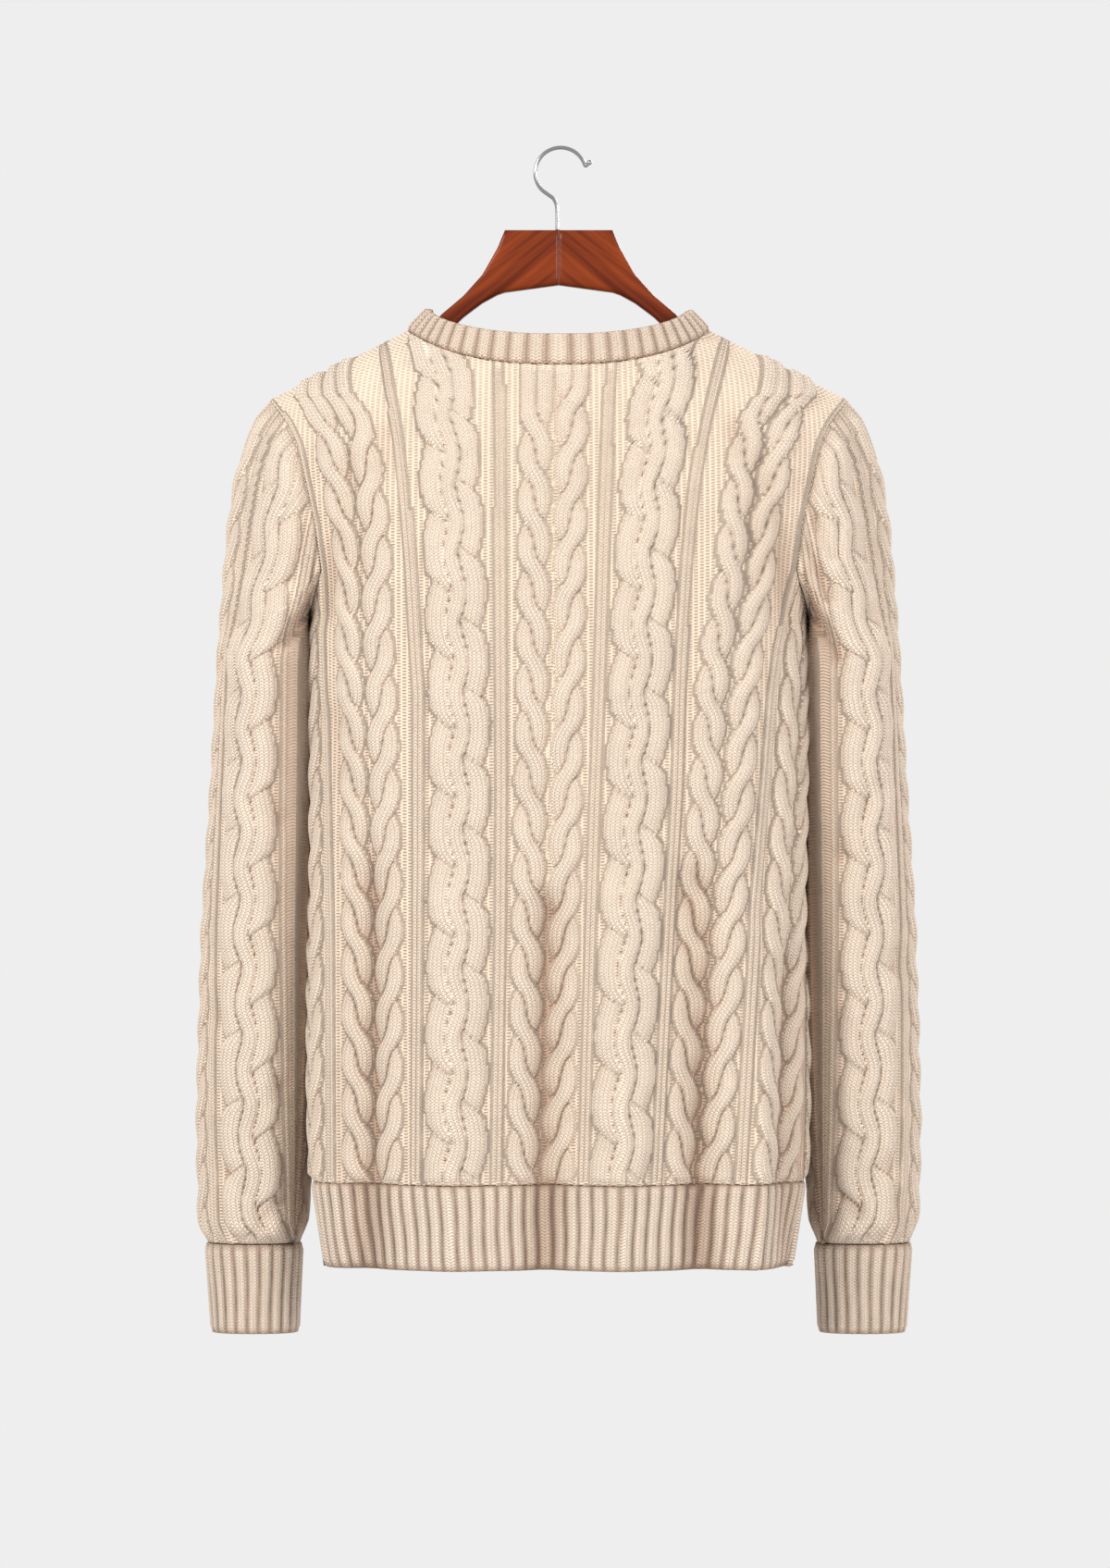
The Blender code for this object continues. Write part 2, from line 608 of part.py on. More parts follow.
def tube_wall(name, outer, inner, collection, material):
    """A closed wall from an outer and a coarser inner ring grid, joined at both ends."""
    mesh_data = bmesh.new()
    outside = add_grid(mesh_data, outer, wrap=True)
    inside = add_grid(mesh_data, inner, wrap=True)
    for end in (0, -1):
        zip_edge(mesh_data, outside[end] + outside[end][:1], inside[end] + inside[end][:1], True)
    return finish_mesh(name, mesh_data, collection, material)


def build_sleeve(name, back, front, right, collection, material):
    """One sleeve as a ring grid: back half from the outer line, then the front half back to it.

    It is knitted in one, and modelled as two solids that meet at the elbow.
    """
    mirror = 1.0 if right else -1.0
    back_points, back_lift = sleeve_half(armhole_nodes(back, right), False, mirror)
    front_points, front_lift = sleeve_half(armhole_nodes(front, right), True, mirror)
    points = np.concatenate([back_points, front_points[:, -2:0:-1]], axis=1)
    lift = np.concatenate([back_lift, front_lift[:, -2:0:-1]], axis=1)
    points[:, 0] = 0.5 * (back_points[:, 0] + front_points[:, 0])
    points[:, back_points.shape[1] - 1] = 0.5 * (back_points[:, -1] + front_points[:, -1])
    centre = points.mean(axis=1, keepdims=True)
    normals = grid_normals(points, centre)
    inward = centre[0] - points[0]
    inward[:, 0] = 0.0
    normals[0] = -inward / np.linalg.norm(inward, axis=-1, keepdims=True)
    normals[-1, :, 2] = 0.0
    normals[ELBOW_ROW, :, 2] = 0.0
    outer = points + normals * lift[..., None]
    inner = points - normals * WALL
    tube_wall(name + "_upper", outer[:ELBOW_ROW + 1], inner[list(UPPER_INNER_ROWS)], collection, material)
    for wall in (outer, inner):
        wall[ELBOW_ROW, :, 2] -= SEAM_GAP
    tube_wall(name + "_lower", outer[ELBOW_ROW:], inner[list(LOWER_INNER_ROWS)], collection, material)


# ---------------------------------------------------------------- ribbed pieces
def ribs(count, share):
    """Share of a rib's height at a share of the way across the piece: crest, then groove."""
    return 0.5 + 0.5 * np.cos(2.0 * math.pi * count * share)


HEM_RIBS = 44
HEM_RIB_RISE = 3.5 * MM
CUFF_RIBS = 24
CUFF_RIB_RISE = 2.6 * MM
BAND_RIBS = 52
BAND_THICK = 4.5 * MM
BAND_RIB_RISE = 2.2 * MM
BAND_GAP = 0.7 * MM
BAND_FOOT = 2.2 * MM
CORNER_LIFT = 1.5 * MM
# How the band stands at the middle of the back, at the middle of the front and at both sides (mm)
BAND_LEAN = {"back": 4.0 * MM, "front": 10.0 * MM, "side": 15.7 * MM}
BAND_STAND = {"middle": 22.8 * MM, "side": 15.2 * MM}
# Rows of the band: share of the way up, and share of the rib's height there
BAND_ROWS = ((0.0, 0.3), (0.8, 1.0), (1.0, 0.3))
SIDE_TURN = 0.35
SIDE_RAISE = 0.6
HEM_HEIGHTS = (HEM_TOP - SEAM_GAP, -815.0 * MM, HEM_BOTTOM)


def hem_angles(front, height, shares):
    """Ring angles across one hem strip, seam to seam."""
    arcs = rib_arcs(HEM_TOP)
    half = float(np.interp(HEM_TOP, LEVELS, HALF_ROUND))
    scale = float(np.interp(height, LEVELS, HALF_ROUND)) / half
    inset = 0.5 * SEAM_GAP
    if front:
        first, last = arcs["seam_right"] + inset, 2.0 * half + arcs["seam_left"] - inset
    else:
        first, last = arcs["seam_left"] + inset, arcs["seam_right"] - inset
    arc = (first + (last - first) * shares) * scale
    whole = half * scale
    arc = np.where(arc > whole, arc - 2.0 * whole, arc)
    return np.array([angle_of_arc(one, height) for one in arc])


def build_hem(name, front, collection, material):
    """One hem strip: knitted ribs outside, plain inside, a little rounded at the lower edge."""
    mesh_data = bmesh.new()
    fine = np.linspace(0.0, 1.0, 2 * HEM_RIBS + 1)
    few = np.linspace(0.0, 1.0, 23)
    outer = []
    for row, height in enumerate(HEM_HEIGHTS):
        angles = hem_angles(front, height, fine)
        base = body_point(angles, np.full(len(angles), height))
        normal = body_normal(angles, np.full(len(angles), height))
        rise = (ribs(HEM_RIBS, fine) * HEM_RIB_RISE * (1.0 if row < 2 else 0.5))[:, None]
        outer.append(base + normal * rise)
    inner = []
    for height in (HEM_HEIGHTS[0], HEM_HEIGHTS[-1]):
        angles = hem_angles(front, height, few)
        base = body_point(angles, np.full(len(angles), height))
        inner.append(base - body_normal(angles, np.full(len(angles), height)) * WALL)
    outside = add_grid(mesh_data, np.array(outer))
    inside = add_grid(mesh_data, np.array(inner))
    zip_edge(mesh_data, outside[0], inside[0], True)
    zip_edge(mesh_data, outside[-1], inside[-1], True)
    zip_edge(mesh_data, [row[0] for row in outside], [row[0] for row in inside], True)
    zip_edge(mesh_data, [row[-1] for row in outside], [row[-1] for row in inside], True)
    finish_mesh(name, mesh_data, collection, material)


def cuff_ring(height, shares):
    """Points round the right cuff at one height."""
    back, front = sleeve_half_ring(height, False), sleeve_half_ring(height, True)
    ring = np.concatenate([back, front[-2::-1]])
    arc = np.concatenate([[0.0], np.cumsum(np.hypot(*np.diff(ring, axis=0).T))])
    x = np.interp(shares * arc[-1], arc, ring[:, 0])
    y = np.interp(shares * arc[-1], arc, ring[:, 1])
    return np.stack([x, y, np.full(len(shares), height)], axis=-1)


def build_cuff(name, mirror, collection, material):
    """A ribbed ring below the sleeve."""
    fine = np.arange(2 * CUFF_RIBS) / (2.0 * CUFF_RIBS)
    few = np.arange(16) / 16.0
    heights = (CUFF_TOP, CUFF_BOTTOM + 7.0 * MM, CUFF_BOTTOM)
    flip = np.array([mirror, 1.0, 1.0])
    outer = []
    inner = []
    for row, height in enumerate(heights):
        points = cuff_ring(height, fine)
        centre = points.mean(axis=0)
        away = (points - centre) / np.linalg.norm(points - centre, axis=-1, keepdims=True)
        rise = (ribs(CUFF_RIBS, fine) * CUFF_RIB_RISE * (1.0 if row < 2 else 0.5))[:, None]
        outer.append((points + away * rise) * flip)
        points = cuff_ring(height, few)
        away = (points - centre) / np.linalg.norm(points - centre, axis=-1, keepdims=True)
        inner.append((points - away * WALL) * flip)
    tube_wall(name, np.array(outer), np.array(inner), collection, material)


def neck_ring(turn, lift, back_edge, front_edge):
    """Middle line of the band: on the panels' edge at lift 0, leaning inwards and standing up to lift 1."""
    x = NECK_X * np.sign(np.sin(turn)) * np.abs(np.sin(turn)) ** 0.9
    back = np.cos(turn) > 0.0
    y = np.where(back, np.interp(x, back_edge[:, 0], back_edge[:, 1]),
                 np.interp(x, front_edge[:, 0], front_edge[:, 1]))
    z = np.where(back, np.interp(x, back_edge[:, 0], back_edge[:, 2]),
                 np.interp(x, front_edge[:, 0], front_edge[:, 2]))
    side = np.abs(np.sin(turn)) ** 3
    middle_lean = np.where(back, BAND_LEAN["back"], BAND_LEAN["front"])
    lean = (middle_lean + (BAND_LEAN["side"] - middle_lean) * side) * lift
    rise = (BAND_STAND["middle"] + (BAND_STAND["side"] - BAND_STAND["middle"]) * side) * lift
    inward = 1.0 - lean / np.hypot(x, y)
    return np.stack([x * inward, y * inward, z + rise], axis=-1)


def build_neck_band(name, back, front, collection, material):
    """The ribbed ring that stands round the neck."""
    fine = 2.0 * math.pi * np.arange(2 * BAND_RIBS) / (2.0 * BAND_RIBS)
    few = 2.0 * math.pi * np.arange(BAND_RIBS) / BAND_RIBS
    middle = slice(SIDE_COLUMNS, len(PANEL) - SIDE_COLUMNS)
    edges = [panel[0][-1, middle] for panel in (back, front)]
    facing = [panel[1][-1, middle] for panel in (back, front)]
    outer = []
    inner = []
    for lift, rise in BAND_ROWS:
        for turns, rows, sign in ((fine, outer, 1.0), (few, inner, -1.0)):
            points = neck_ring(turns, lift, *edges)
            upright = np.stack([points[:, 0], points[:, 1], np.zeros(len(turns))], axis=-1)
            upright = upright / np.linalg.norm(upright, axis=-1, keepdims=True)
            tilt = np.abs(np.sin(turns))[:, None] ** 3
            upright = upright * (1.0 - SIDE_TURN * tilt) + np.array([0.0, 0.0, SIDE_RAISE]) * tilt
            seam = np.where(np.cos(turns)[:, None] > 0.0, *[
                np.stack([np.interp(points[:, 0], edge[:, 0], normal[:, axis]) for axis in range(3)], axis=-1)
                for edge, normal in zip(edges, facing)
            ])
            seam = seam / np.linalg.norm(seam, axis=-1, keepdims=True)
            up_slope = np.array([0.0, 0.0, 1.0]) - seam[:, 2:] * seam
            points = points + BAND_GAP * up_slope / np.linalg.norm(up_slope, axis=-1, keepdims=True)
            away = seam * (1.0 - lift) + upright * lift
            away = away / np.linalg.norm(away, axis=-1, keepdims=True)
            if sign > 0.0:
                crest = ribs(BAND_RIBS, turns / (2.0 * math.pi))[:, None] * BAND_RIB_RISE * rise
                rows.append(points + away * (0.5 * BAND_THICK * lift + crest))
            else:
                clear = np.array([0.0, 0.0, CORNER_LIFT]) * tilt * (1.0 - lift)
                rows.append(points + clear - away * (BAND_FOOT + (0.5 * BAND_THICK - BAND_FOOT) * lift))
    tube_wall(name, np.array(outer), np.array(inner), collection, material)


# ---------------------------------------------------------------- hanger
WOOD_TOP = -62.3 * MM
WOOD_THICK = 14.0 * MM
# Upper and lower edge of the right half of the wood (mm)
WOOD = {
    "x": (0.2, 39.6, 44.9, 56.0, 70.0, 85.7, 100.0, 115.0, 130.0, 160.0, 185.0, 196.0),
    "upper": (-62.3, -62.3, -75.2, -94.9, -110.6, -123.8, -138.5, -148.0, -152.0, -165.9, -178.4, -184.1),
    "lower": (-102.8, -108.2, -110.0, -116.0, -126.5, -142.0, -157.0, -169.0, -177.0, -192.0, -204.0, -208.0),
}
HOOK_RADIUS = 18.7 * MM
HOOK_WIRE = 1.4 * MM
BALL_RADIUS = 1.9 * MM


def build_wood(name, mirror, collection, material):
    """One half of the wood: its outline across X and Z, given its thickness, with rounded edges."""
    mesh_data = bmesh.new()
    upper = [(x, z) for x, z in zip(WOOD["x"], WOOD["upper"])]
    lower = [(x, z) for x, z in zip(WOOD["x"], WOOD["lower"])]
    outline = upper + lower[::-1]
    front = [mesh_data.verts.new((mirror * x * MM, -0.5 * WOOD_THICK, z * MM)) for x, z in outline]
    count = len(WOOD["x"])
    faces = []
    for i in range(count - 1):
        quad = (front[i], front[i + 1], front[2 * count - 2 - i], front[2 * count - 1 - i])
        faces.append(mesh_data.faces.new(quad))
    solid = bmesh.ops.extrude_face_region(mesh_data, geom=faces)
    moved = [item for item in solid["geom"] if isinstance(item, bmesh.types.BMVert)]
    bmesh.ops.translate(mesh_data, verts=moved, vec=(0.0, WOOD_THICK, 0.0))
    item = finish_mesh(name, mesh_data, collection, material)
    rounding = item.modifiers.new("rounded_edges", "BEVEL")
    rounding.width = 3.0 * MM
    rounding.segments = 1
    rounding.limit_method = "ANGLE"
    rounding.angle_limit = math.radians(60.0)


def build_hook(name, collection, cutters, material):
    """Steel wire: stem, bend, most of a circle, and a short lip with a ball, as one closed body."""
    centre = (1.4 * MM, -HOOK_RADIUS - HOOK_WIRE)
    points = [(-1.0 * MM, WOOD_TOP - 0.1 * MM), (-1.0 * MM, -50.0 * MM), (-1.6 * MM, -42.5 * MM)]
    for step in range(15):
        turn = math.radians(222.0 - 208.0 * step / 14.0)
        points.append((centre[0] + HOOK_RADIUS * math.cos(turn), centre[1] + HOOK_RADIUS * math.sin(turn)))
    points.append((21.0 * MM, -13.2 * MM))
    curve = bpy.data.curves.new(name + "_wire", "CURVE")
    curve.dimensions = "3D"
    curve.bevel_depth = HOOK_WIRE
    curve.bevel_resolution = 1
    curve.use_fill_caps = True
    spline = curve.splines.new("POLY")
    spline.points.add(len(points) - 1)
    for point, (x, z) in zip(spline.points, points):
        point.co = (x, 0.0, z, 1.0)
    wire = bpy.data.objects.new(name + "_wire", curve)
    collection.objects.link(wire)
    mesh = bpy.data.meshes.new_from_object(wire.evaluated_get(bpy.context.evaluated_depsgraph_get()))
    bpy.data.objects.remove(wire, do_unlink=True)
    mesh_data = bmesh.new()
    mesh_data.from_mesh(mesh)
    bmesh.ops.remove_doubles(mesh_data, verts=mesh_data.verts, dist=0.00001)
    hook = finish_mesh(name, mesh_data, collection, material)
    ball_data = bmesh.new()
    bmesh.ops.create_icosphere(ball_data, subdivisions=2, radius=BALL_RADIUS)
    bmesh.ops.translate(ball_data, verts=ball_data.verts, vec=(22.6 * MM, 0.0, -12.4 * MM))
    ball = finish_mesh(name + "_ball", ball_data, cutters, material)
    ball.hide_render = True
    ball.display_type = "WIRE"
    join = hook.modifiers.new("ball_tip", "BOOLEAN")
    join.operation = "UNION"
    join.object = ball


def main():
    """Build every piece into one collection."""
    clear_scene()
    collection = bpy.data.collections.new(OBJECT_NAME)
    bpy.context.scene.collection.children.link(collection)
    cutters = bpy.data.collections.new("cutters")
    bpy.context.scene.collection.children.link(cutters)
    knit = make_material("knit", (0.83, 0.69, 0.56), 0.9)
    wood = make_material("varnished_wood", (0.33, 0.08, 0.03), 0.3)
    steel = make_material("steel", (0.6, 0.6, 0.6), 0.25, 1.0)
    back = build_panel("back_panel", False, collection, knit)
    front = build_panel("front_panel", True, collection, knit)
    build_sleeve("sleeve_right", back[0], front[0], True, collection, knit)
    build_sleeve("sleeve_left", back[0], front[0], False, collection, knit)
    build_hem("hem_rib_back", False, collection, knit)
    build_hem("hem_rib_front", True, collection, knit)
    build_cuff("cuff_right", 1.0, collection, knit)
    build_cuff("cuff_left", -1.0, collection, knit)
    build_neck_band("neck_band", back, front, collection, knit)
    build_wood("hanger_wood_right", 1.0, collection, wood)
    build_wood("hanger_wood_left", -1.0, collection, wood)
    build_hook("hanger_hook", collection, cutters, steel)


main()
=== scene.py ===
"""Looks of the cable knit sweater on its wooden hanger, fitted over the solids of the part.

The frame is the part's own: the origin is the inner top of the hook, +Z is up, the back of the
sweater faces -Y. Lengths are in metres.
"""
import functools
import math

import bpy
import numpy as np
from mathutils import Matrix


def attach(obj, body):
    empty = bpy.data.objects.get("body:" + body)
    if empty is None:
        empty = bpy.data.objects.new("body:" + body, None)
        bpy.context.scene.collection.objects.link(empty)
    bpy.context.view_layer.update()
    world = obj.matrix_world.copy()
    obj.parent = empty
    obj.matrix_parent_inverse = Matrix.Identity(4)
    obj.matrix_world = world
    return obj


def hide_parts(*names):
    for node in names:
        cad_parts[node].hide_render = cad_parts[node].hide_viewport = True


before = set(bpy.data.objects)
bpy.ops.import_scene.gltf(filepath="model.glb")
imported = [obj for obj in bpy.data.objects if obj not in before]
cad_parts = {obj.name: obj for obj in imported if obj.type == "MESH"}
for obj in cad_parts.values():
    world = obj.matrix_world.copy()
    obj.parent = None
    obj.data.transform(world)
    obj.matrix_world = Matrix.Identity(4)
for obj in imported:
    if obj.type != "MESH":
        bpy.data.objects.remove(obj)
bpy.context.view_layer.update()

# ---------------------------------------------------------------- the knitted body
# The body is knitted in two halves, back and front, of thick wool blend yarn in three-strand plaits
# and two-strand ropes between thin ribs, on a purl ground. The halves are sewn together at the sides
# and along the shoulder ridge, and hold the rounded form they have when worn.
MM = 0.001
WALL = 2.6 * MM
HEM_TOP, HEM_BOTTOM = -760.6 * MM, -822.5 * MM
UNDERARM, SCOOP = -345.0 * MM, -312.5 * MM
TIP_X, TIP_Z = 212.0 * MM, -187.0 * MM
NECK_X, NECK_Z = 110.0 * MM, -135.7 * MM
BACK_NECK, FRONT_NECK = -164.0 * MM, -216.0 * MM
SECTION_POWER = 2.8
FLUTE_DEPTH = 5.0 * MM
# Body sections (mm): height, half width, and depth behind and in front of the side line
BODY = {
    "height": (-822.5, -760.6, -700, -573, -471, -400, -345, -300, -250, -210, -187, -120),
    "half_width": (170, 179.5, 181, 181, 181, 181.5, 182, 188, 202, 226, 246, 290),
    "back": (74, 80, 84, 88, 92, 95, 96, 96, 96, 96, 96, 96),
    "front": (77, 84, 88, 93, 99, 103, 104, 103, 102, 100, 98, 96),
}
# Thin ribs of the back (mm from the middle); the outer two become the edges of the armholes
RIBS = {
    "height": (-760.6, -573, -471, -403, -369, -312.5, -280, -250, -220.7, -204.4, -187, -135),
    "left_3": (-165.9, -166.5, -168.6, -171, -172, -173.4, -176.8, -183.6, -190.4, -198.6, -212, -240),
    "left_2": (-103.4, -102, -102, -101.7, -104, -107.4, -110, -112.5, -116, -118.5, -122, -131),
    "left_1": (-45.5, -42.2, -41.5, -41.8, -42, -42.3, -42.7, -43, -43.2, -43.3, -43.4, -43.8),
    "right_1": (18, 23.1, 26.5, 29.2, 30.3, 32, 33, 34.2, 35.4, 36, 36.8, 39),
    "right_2": (70.5, 80, 85.7, 87.5, 89, 92.5, 95.5, 99, 104, 107, 111, 124),
    "right_3": (131.5, 141, 149.6, 155, 159.8, 173.4, 176.8, 183.6, 190.4, 198.6, 212, 240),
}
# Soft flutes of the lower body (mm from the middle of the back; out is a share of their depth)
FLUTES = {
    "place": (-186, -139, -78, -10, 45, 103, 143, 167, 186),
    "out": (0, -1, 0.8, -1, 0.8, -1, 0.8, -0.8, 0),
}


def held(value):
    """A value held between 0 and 1."""
    return np.clip(value, 0.0, 1.0)


def look(table, column, height):
    """Value of a table's column, in metres, at heights in metres."""
    return np.interp(np.asarray(height) / MM, table["height"], table[column]) * MM


def ridge(x):
    """Height of the shoulder ridge: a straight slope from the side of the neck to the shoulder tip."""
    return NECK_Z - (NECK_Z - TIP_Z) / (TIP_X - NECK_X) * (np.abs(x) - NECK_X)


def neck_line(x, front):
    """Height of the seam under the neck band: side - (side - low) (1 - share^2.4)^0.77."""
    low = FRONT_NECK if front else BACK_NECK
    share = held(np.abs(x) / NECK_X)
    return NECK_Z - (NECK_Z - low) * (1.0 - share ** 2.4) ** 0.77


def reach(angle, power):
    """How far a superellipse reaches at an angle: (|sin|^power + |cos|^power)^(-1 / power)."""
    return (np.abs(np.sin(angle)) ** power + np.abs(np.cos(angle)) ** power) ** (-1.0 / power)


def body_point(angle, height):
    """Base surface of the body: a superellipse ring at each height, drawn in to the shoulder ridge.

    The depth is scaled by (1 - climb^2.6)^0.625, where climb is the share of the way from the
    underarm to the ridge, and soft flutes are added that grow towards the hem.
    """
    angle, height = np.broadcast_arrays(angle, height)
    back = np.cos(angle) > 0.0
    depth = np.where(back, look(BODY, "back", height), look(BODY, "front", height))
    ring = reach(angle, SECTION_POWER)
    x = look(BODY, "half_width", height) * ring * np.sin(angle)
    climb = held((height - UNDERARM) / (ridge(x) - UNDERARM))
    y = -depth * ring * np.cos(angle) * (1.0 - climb ** 2.6) ** 0.625
    low = held((SCOOP - height) / (SCOOP - HEM_TOP)) ** 1.5
    flute = np.interp(np.where(back, x, -x) / MM, FLUTES["place"], FLUTES["out"]) * FLUTE_DEPTH * low
    return np.stack([x, y - np.where(back, flute, -flute), height], axis=-1)


def ring_arcs(x, y):
    """Length along each ring, from its first point to every other."""
    steps = np.hypot(np.diff(x, axis=1), np.diff(y, axis=1))
    return np.concatenate([np.zeros((len(x), 1)), np.cumsum(steps, axis=1)], axis=1)


# Arc length round the body at each level, so that the cloth keeps its width round the sides
LEVELS = np.linspace(-830.0 * MM, -122.0 * MM, 178)
TURNS = np.linspace(-math.pi, math.pi, 721)
MIDDLE = len(TURNS) // 2
BACK_HALF = slice(MIDDLE // 2, MIDDLE + MIDDLE // 2 + 1)
ROUND = body_point(TURNS, LEVELS[:, None])
ARCS = ring_arcs(ROUND[..., 0], ROUND[..., 1])
ARCS = ARCS - ARCS[:, MIDDLE][:, None]
HALF_ROUND = ARCS[:, -1]
SHARES = np.linspace(-1.0, 1.0, 2001)
TURN_AT = np.array([np.interp(SHARES * half, arcs, TURNS) for half, arcs in zip(HALF_ROUND, ARCS)])
RIB_ARCS = {name: np.array([np.interp(look(RIBS, name, level), ring[BACK_HALF, 0], arcs[BACK_HALF])
                            for level, ring, arcs in zip(LEVELS, ROUND, ARCS)])
            for name in RIBS if name != "height"}
QUARTER = 0.5 * (ARCS[:, BACK_HALF][:, -1] - ARCS[:, BACK_HALF][:, 0])
SPARE = QUARTER - 0.5 * (RIB_ARCS["right_3"] - RIB_ARCS["left_3"])
RIB_ARCS["seam_left"] = RIB_ARCS["left_3"] - SPARE
RIB_ARCS["seam_right"] = RIB_ARCS["right_3"] + SPARE


def rib_arc(name, height):
    """Arc place of a rib or side seam at heights."""
    return np.interp(height, LEVELS, RIB_ARCS[name])


def level_of(height):
    """The level below each height, and how far the height lies from there to the next level."""
    place = np.clip((height - LEVELS[0]) / (LEVELS[1] - LEVELS[0]), 0.0, len(LEVELS) - 1.001)
    level = place.astype(int)
    return level, place - level


def turn_of(arc, height):
    """Ring angle at an arc length from the middle of the back, looked up between levels and shares."""
    arc, height = np.broadcast_arrays(arc, height)
    level, down = level_of(height)
    share = np.clip(arc / np.interp(height, LEVELS, HALF_ROUND), -1.0, 1.0)
    across = np.clip(0.5 * (share + 1.0) * (len(SHARES) - 1), 0.0, len(SHARES) - 1.001)
    column = across.astype(int)
    low, high = [TURN_AT[row, column] + (TURN_AT[row, column + 1] - TURN_AT[row, column]) * (across - column)
                 for row in (level, level + 1)]
    return low + (high - low) * down


# Sizes of the knitted pattern
ROPE_WIDTH, ROPE_RISE, ROPE_CROSSING = 24.0 * MM, 5.2 * MM, 33.7 * MM
PLAIT_WIDTH, PLAIT_RISE, PLAIT_CROSSING = 45.0 * MM, 5.6 * MM, 50.0 * MM
PAIR_SPREAD, PAIR_ROOM, SIDE_PAIR = 13.0 * MM, 25.0 * MM, 33.0 * MM
LINE_WIDTH, LINE_DIP = 0.9 * MM, 1.1 * MM
RIB_RISE, RIB_WIDTH = 2.2 * MM, 8.0 * MM
PLAIT_LEVEL, ROPE_START = -513.0 * MM, -170.0 * MM
# What is knitted between two borders, and at what height its left and its right rope cross (mm)
BORDERS = ("seam_left", "left_3", "left_2", "left_1", "right_1", "right_2", "right_3", "seam_right")
PATTERN = {
    "kind": ("side ropes", "ropes", "plait", "ropes", "plait", "ropes", "side ropes"),
    "left_rope": (-568, -567, 0, -532, 0, -532, -540),
    "right_rope": (-575, -574, 0, -547, 0, -549, -556),
}


def bead(across, half_width):
    """Flattened round top of a strand: (1 - |across / half width|^2.3)^0.72, nothing beyond it."""
    return held(1.0 - np.abs(across / half_width) ** 2.3) ** 0.72


def over_each_other(strands):
    """The highest of some strands at each point, drawn in along the lines where one dips under another.

    Returns the rise, the distance from the middle of the strand on top, and how close the point is
    to such a line: exp(-(difference of the two highest / width of a line)^2).
    """
    best, second = np.zeros(strands[0][0].shape), np.zeros(strands[0][0].shape)
    nearest = strands[0][1].copy()
    for rise, near in strands:
        nearest = np.where(rise > best, near, nearest)
        second = np.maximum(second, np.minimum(rise, best))
        best = np.maximum(best, rise)
    line = np.where(second > 0.0, np.exp(-((best - second) / LINE_WIDTH) ** 2), 0.0)
    return best - LINE_DIP * line, nearest, line


def rope(across, along, slant, straight_from):
    """Two strands that swap sides at every crossing, the upper one running with the slant.

    A strand's middle is a cosine of the height, its rise a sine, and above straight_from the two
    lie side by side.
    """
    along = np.where(along > straight_from, straight_from, along)
    strands = []
    for start in (0.0, math.pi):
        turn = math.pi * along / ROPE_CROSSING + start
        middle = slant * 0.205 * ROPE_WIDTH * np.cos(turn) * (1.22 - 0.22 * np.cos(turn) ** 2)
        top = 0.5 - 0.5 * np.sin(turn)
        rise = (0.5 + 0.5 * top) * ROPE_RISE * bead(across - middle, (0.30 + 0.04 * top) * ROPE_WIDTH)
        strands.append((rise, across - middle))
    return over_each_other(strands)


# One side strand of a plait, by how far down it is in crossings: its middle, half width (mm) and height
SIDE_STRAND = {
    "down": (0, 0.1, 0.25, 0.5, 0.75, 1, 1.2),
    "middle": (3.4, 7.6, 12, 14.2, 13.8, 11, 8.6),
    "half_width": (1.8, 6.4, 8.8, 8.8, 8.8, 8.8, 7.5),
    "high": (0.74, 0.86, 1, 1, 0.9, 0.68, 0.5),
}


def plait(across, along):
    """A braid: a wavy middle strand, and side strands that come out from under it and swell.

    On the side of growing across each one lies over the end of the one above it. The other side is
    the same turned upside down, 0.62 of a crossing lower. The middle strand is a cosine of the height.
    """
    down = 0.29 - along / PLAIT_CROSSING
    middle = across + 0.064 * PLAIT_WIDTH * np.cos(math.tau * (down - 0.12))
    strands = [(0.97 * PLAIT_RISE * bead(middle, 0.162 * PLAIT_WIDTH), middle)]
    for side, start in ((1.0, down), (-1.0, 0.62 - down)):
        for earlier in (0.0, 1.0):
            share = np.mod(start, 1.0) + earlier
            place, half, high = [np.interp(share, SIDE_STRAND["down"], SIDE_STRAND[column])
                                 for column in ("middle", "half_width", "high")]
            away = side * across - place * MM
            rise = np.where(share < 1.2, high * PLAIT_RISE * bead(away, half * MM), 0.0)
            strands.append((rise, away))
    return over_each_other(strands)


def rib(away):
    """A thin rib, as one strand with a wide top: its rise, the distance from its middle, and no line."""
    return RIB_RISE * bead(np.abs(away) - 0.25 * RIB_WIDTH, 0.27 * RIB_WIDTH), away, 0.0 * away


def highest(parts, across):
    """The highest of some ropes, plaits and ribs at each point, and the stitches' own coordinates.

    Returns the rise over the ground, the distance across the strand on top, 1 on strands or 0 on
    the purl ground, and how close the point is to a line where one strand dips under another.
    """
    rise, smooth, line = 0.0 * across, 0.0 * across, 0.0 * across
    for part, near, dark in parts:
        above = part > rise
        across = np.where(above, near, across)
        line = np.where(above, dark, line)
        smooth = np.where(above, 1.0, smooth)
        rise = np.maximum(rise, part)
    return rise, across, smooth, line


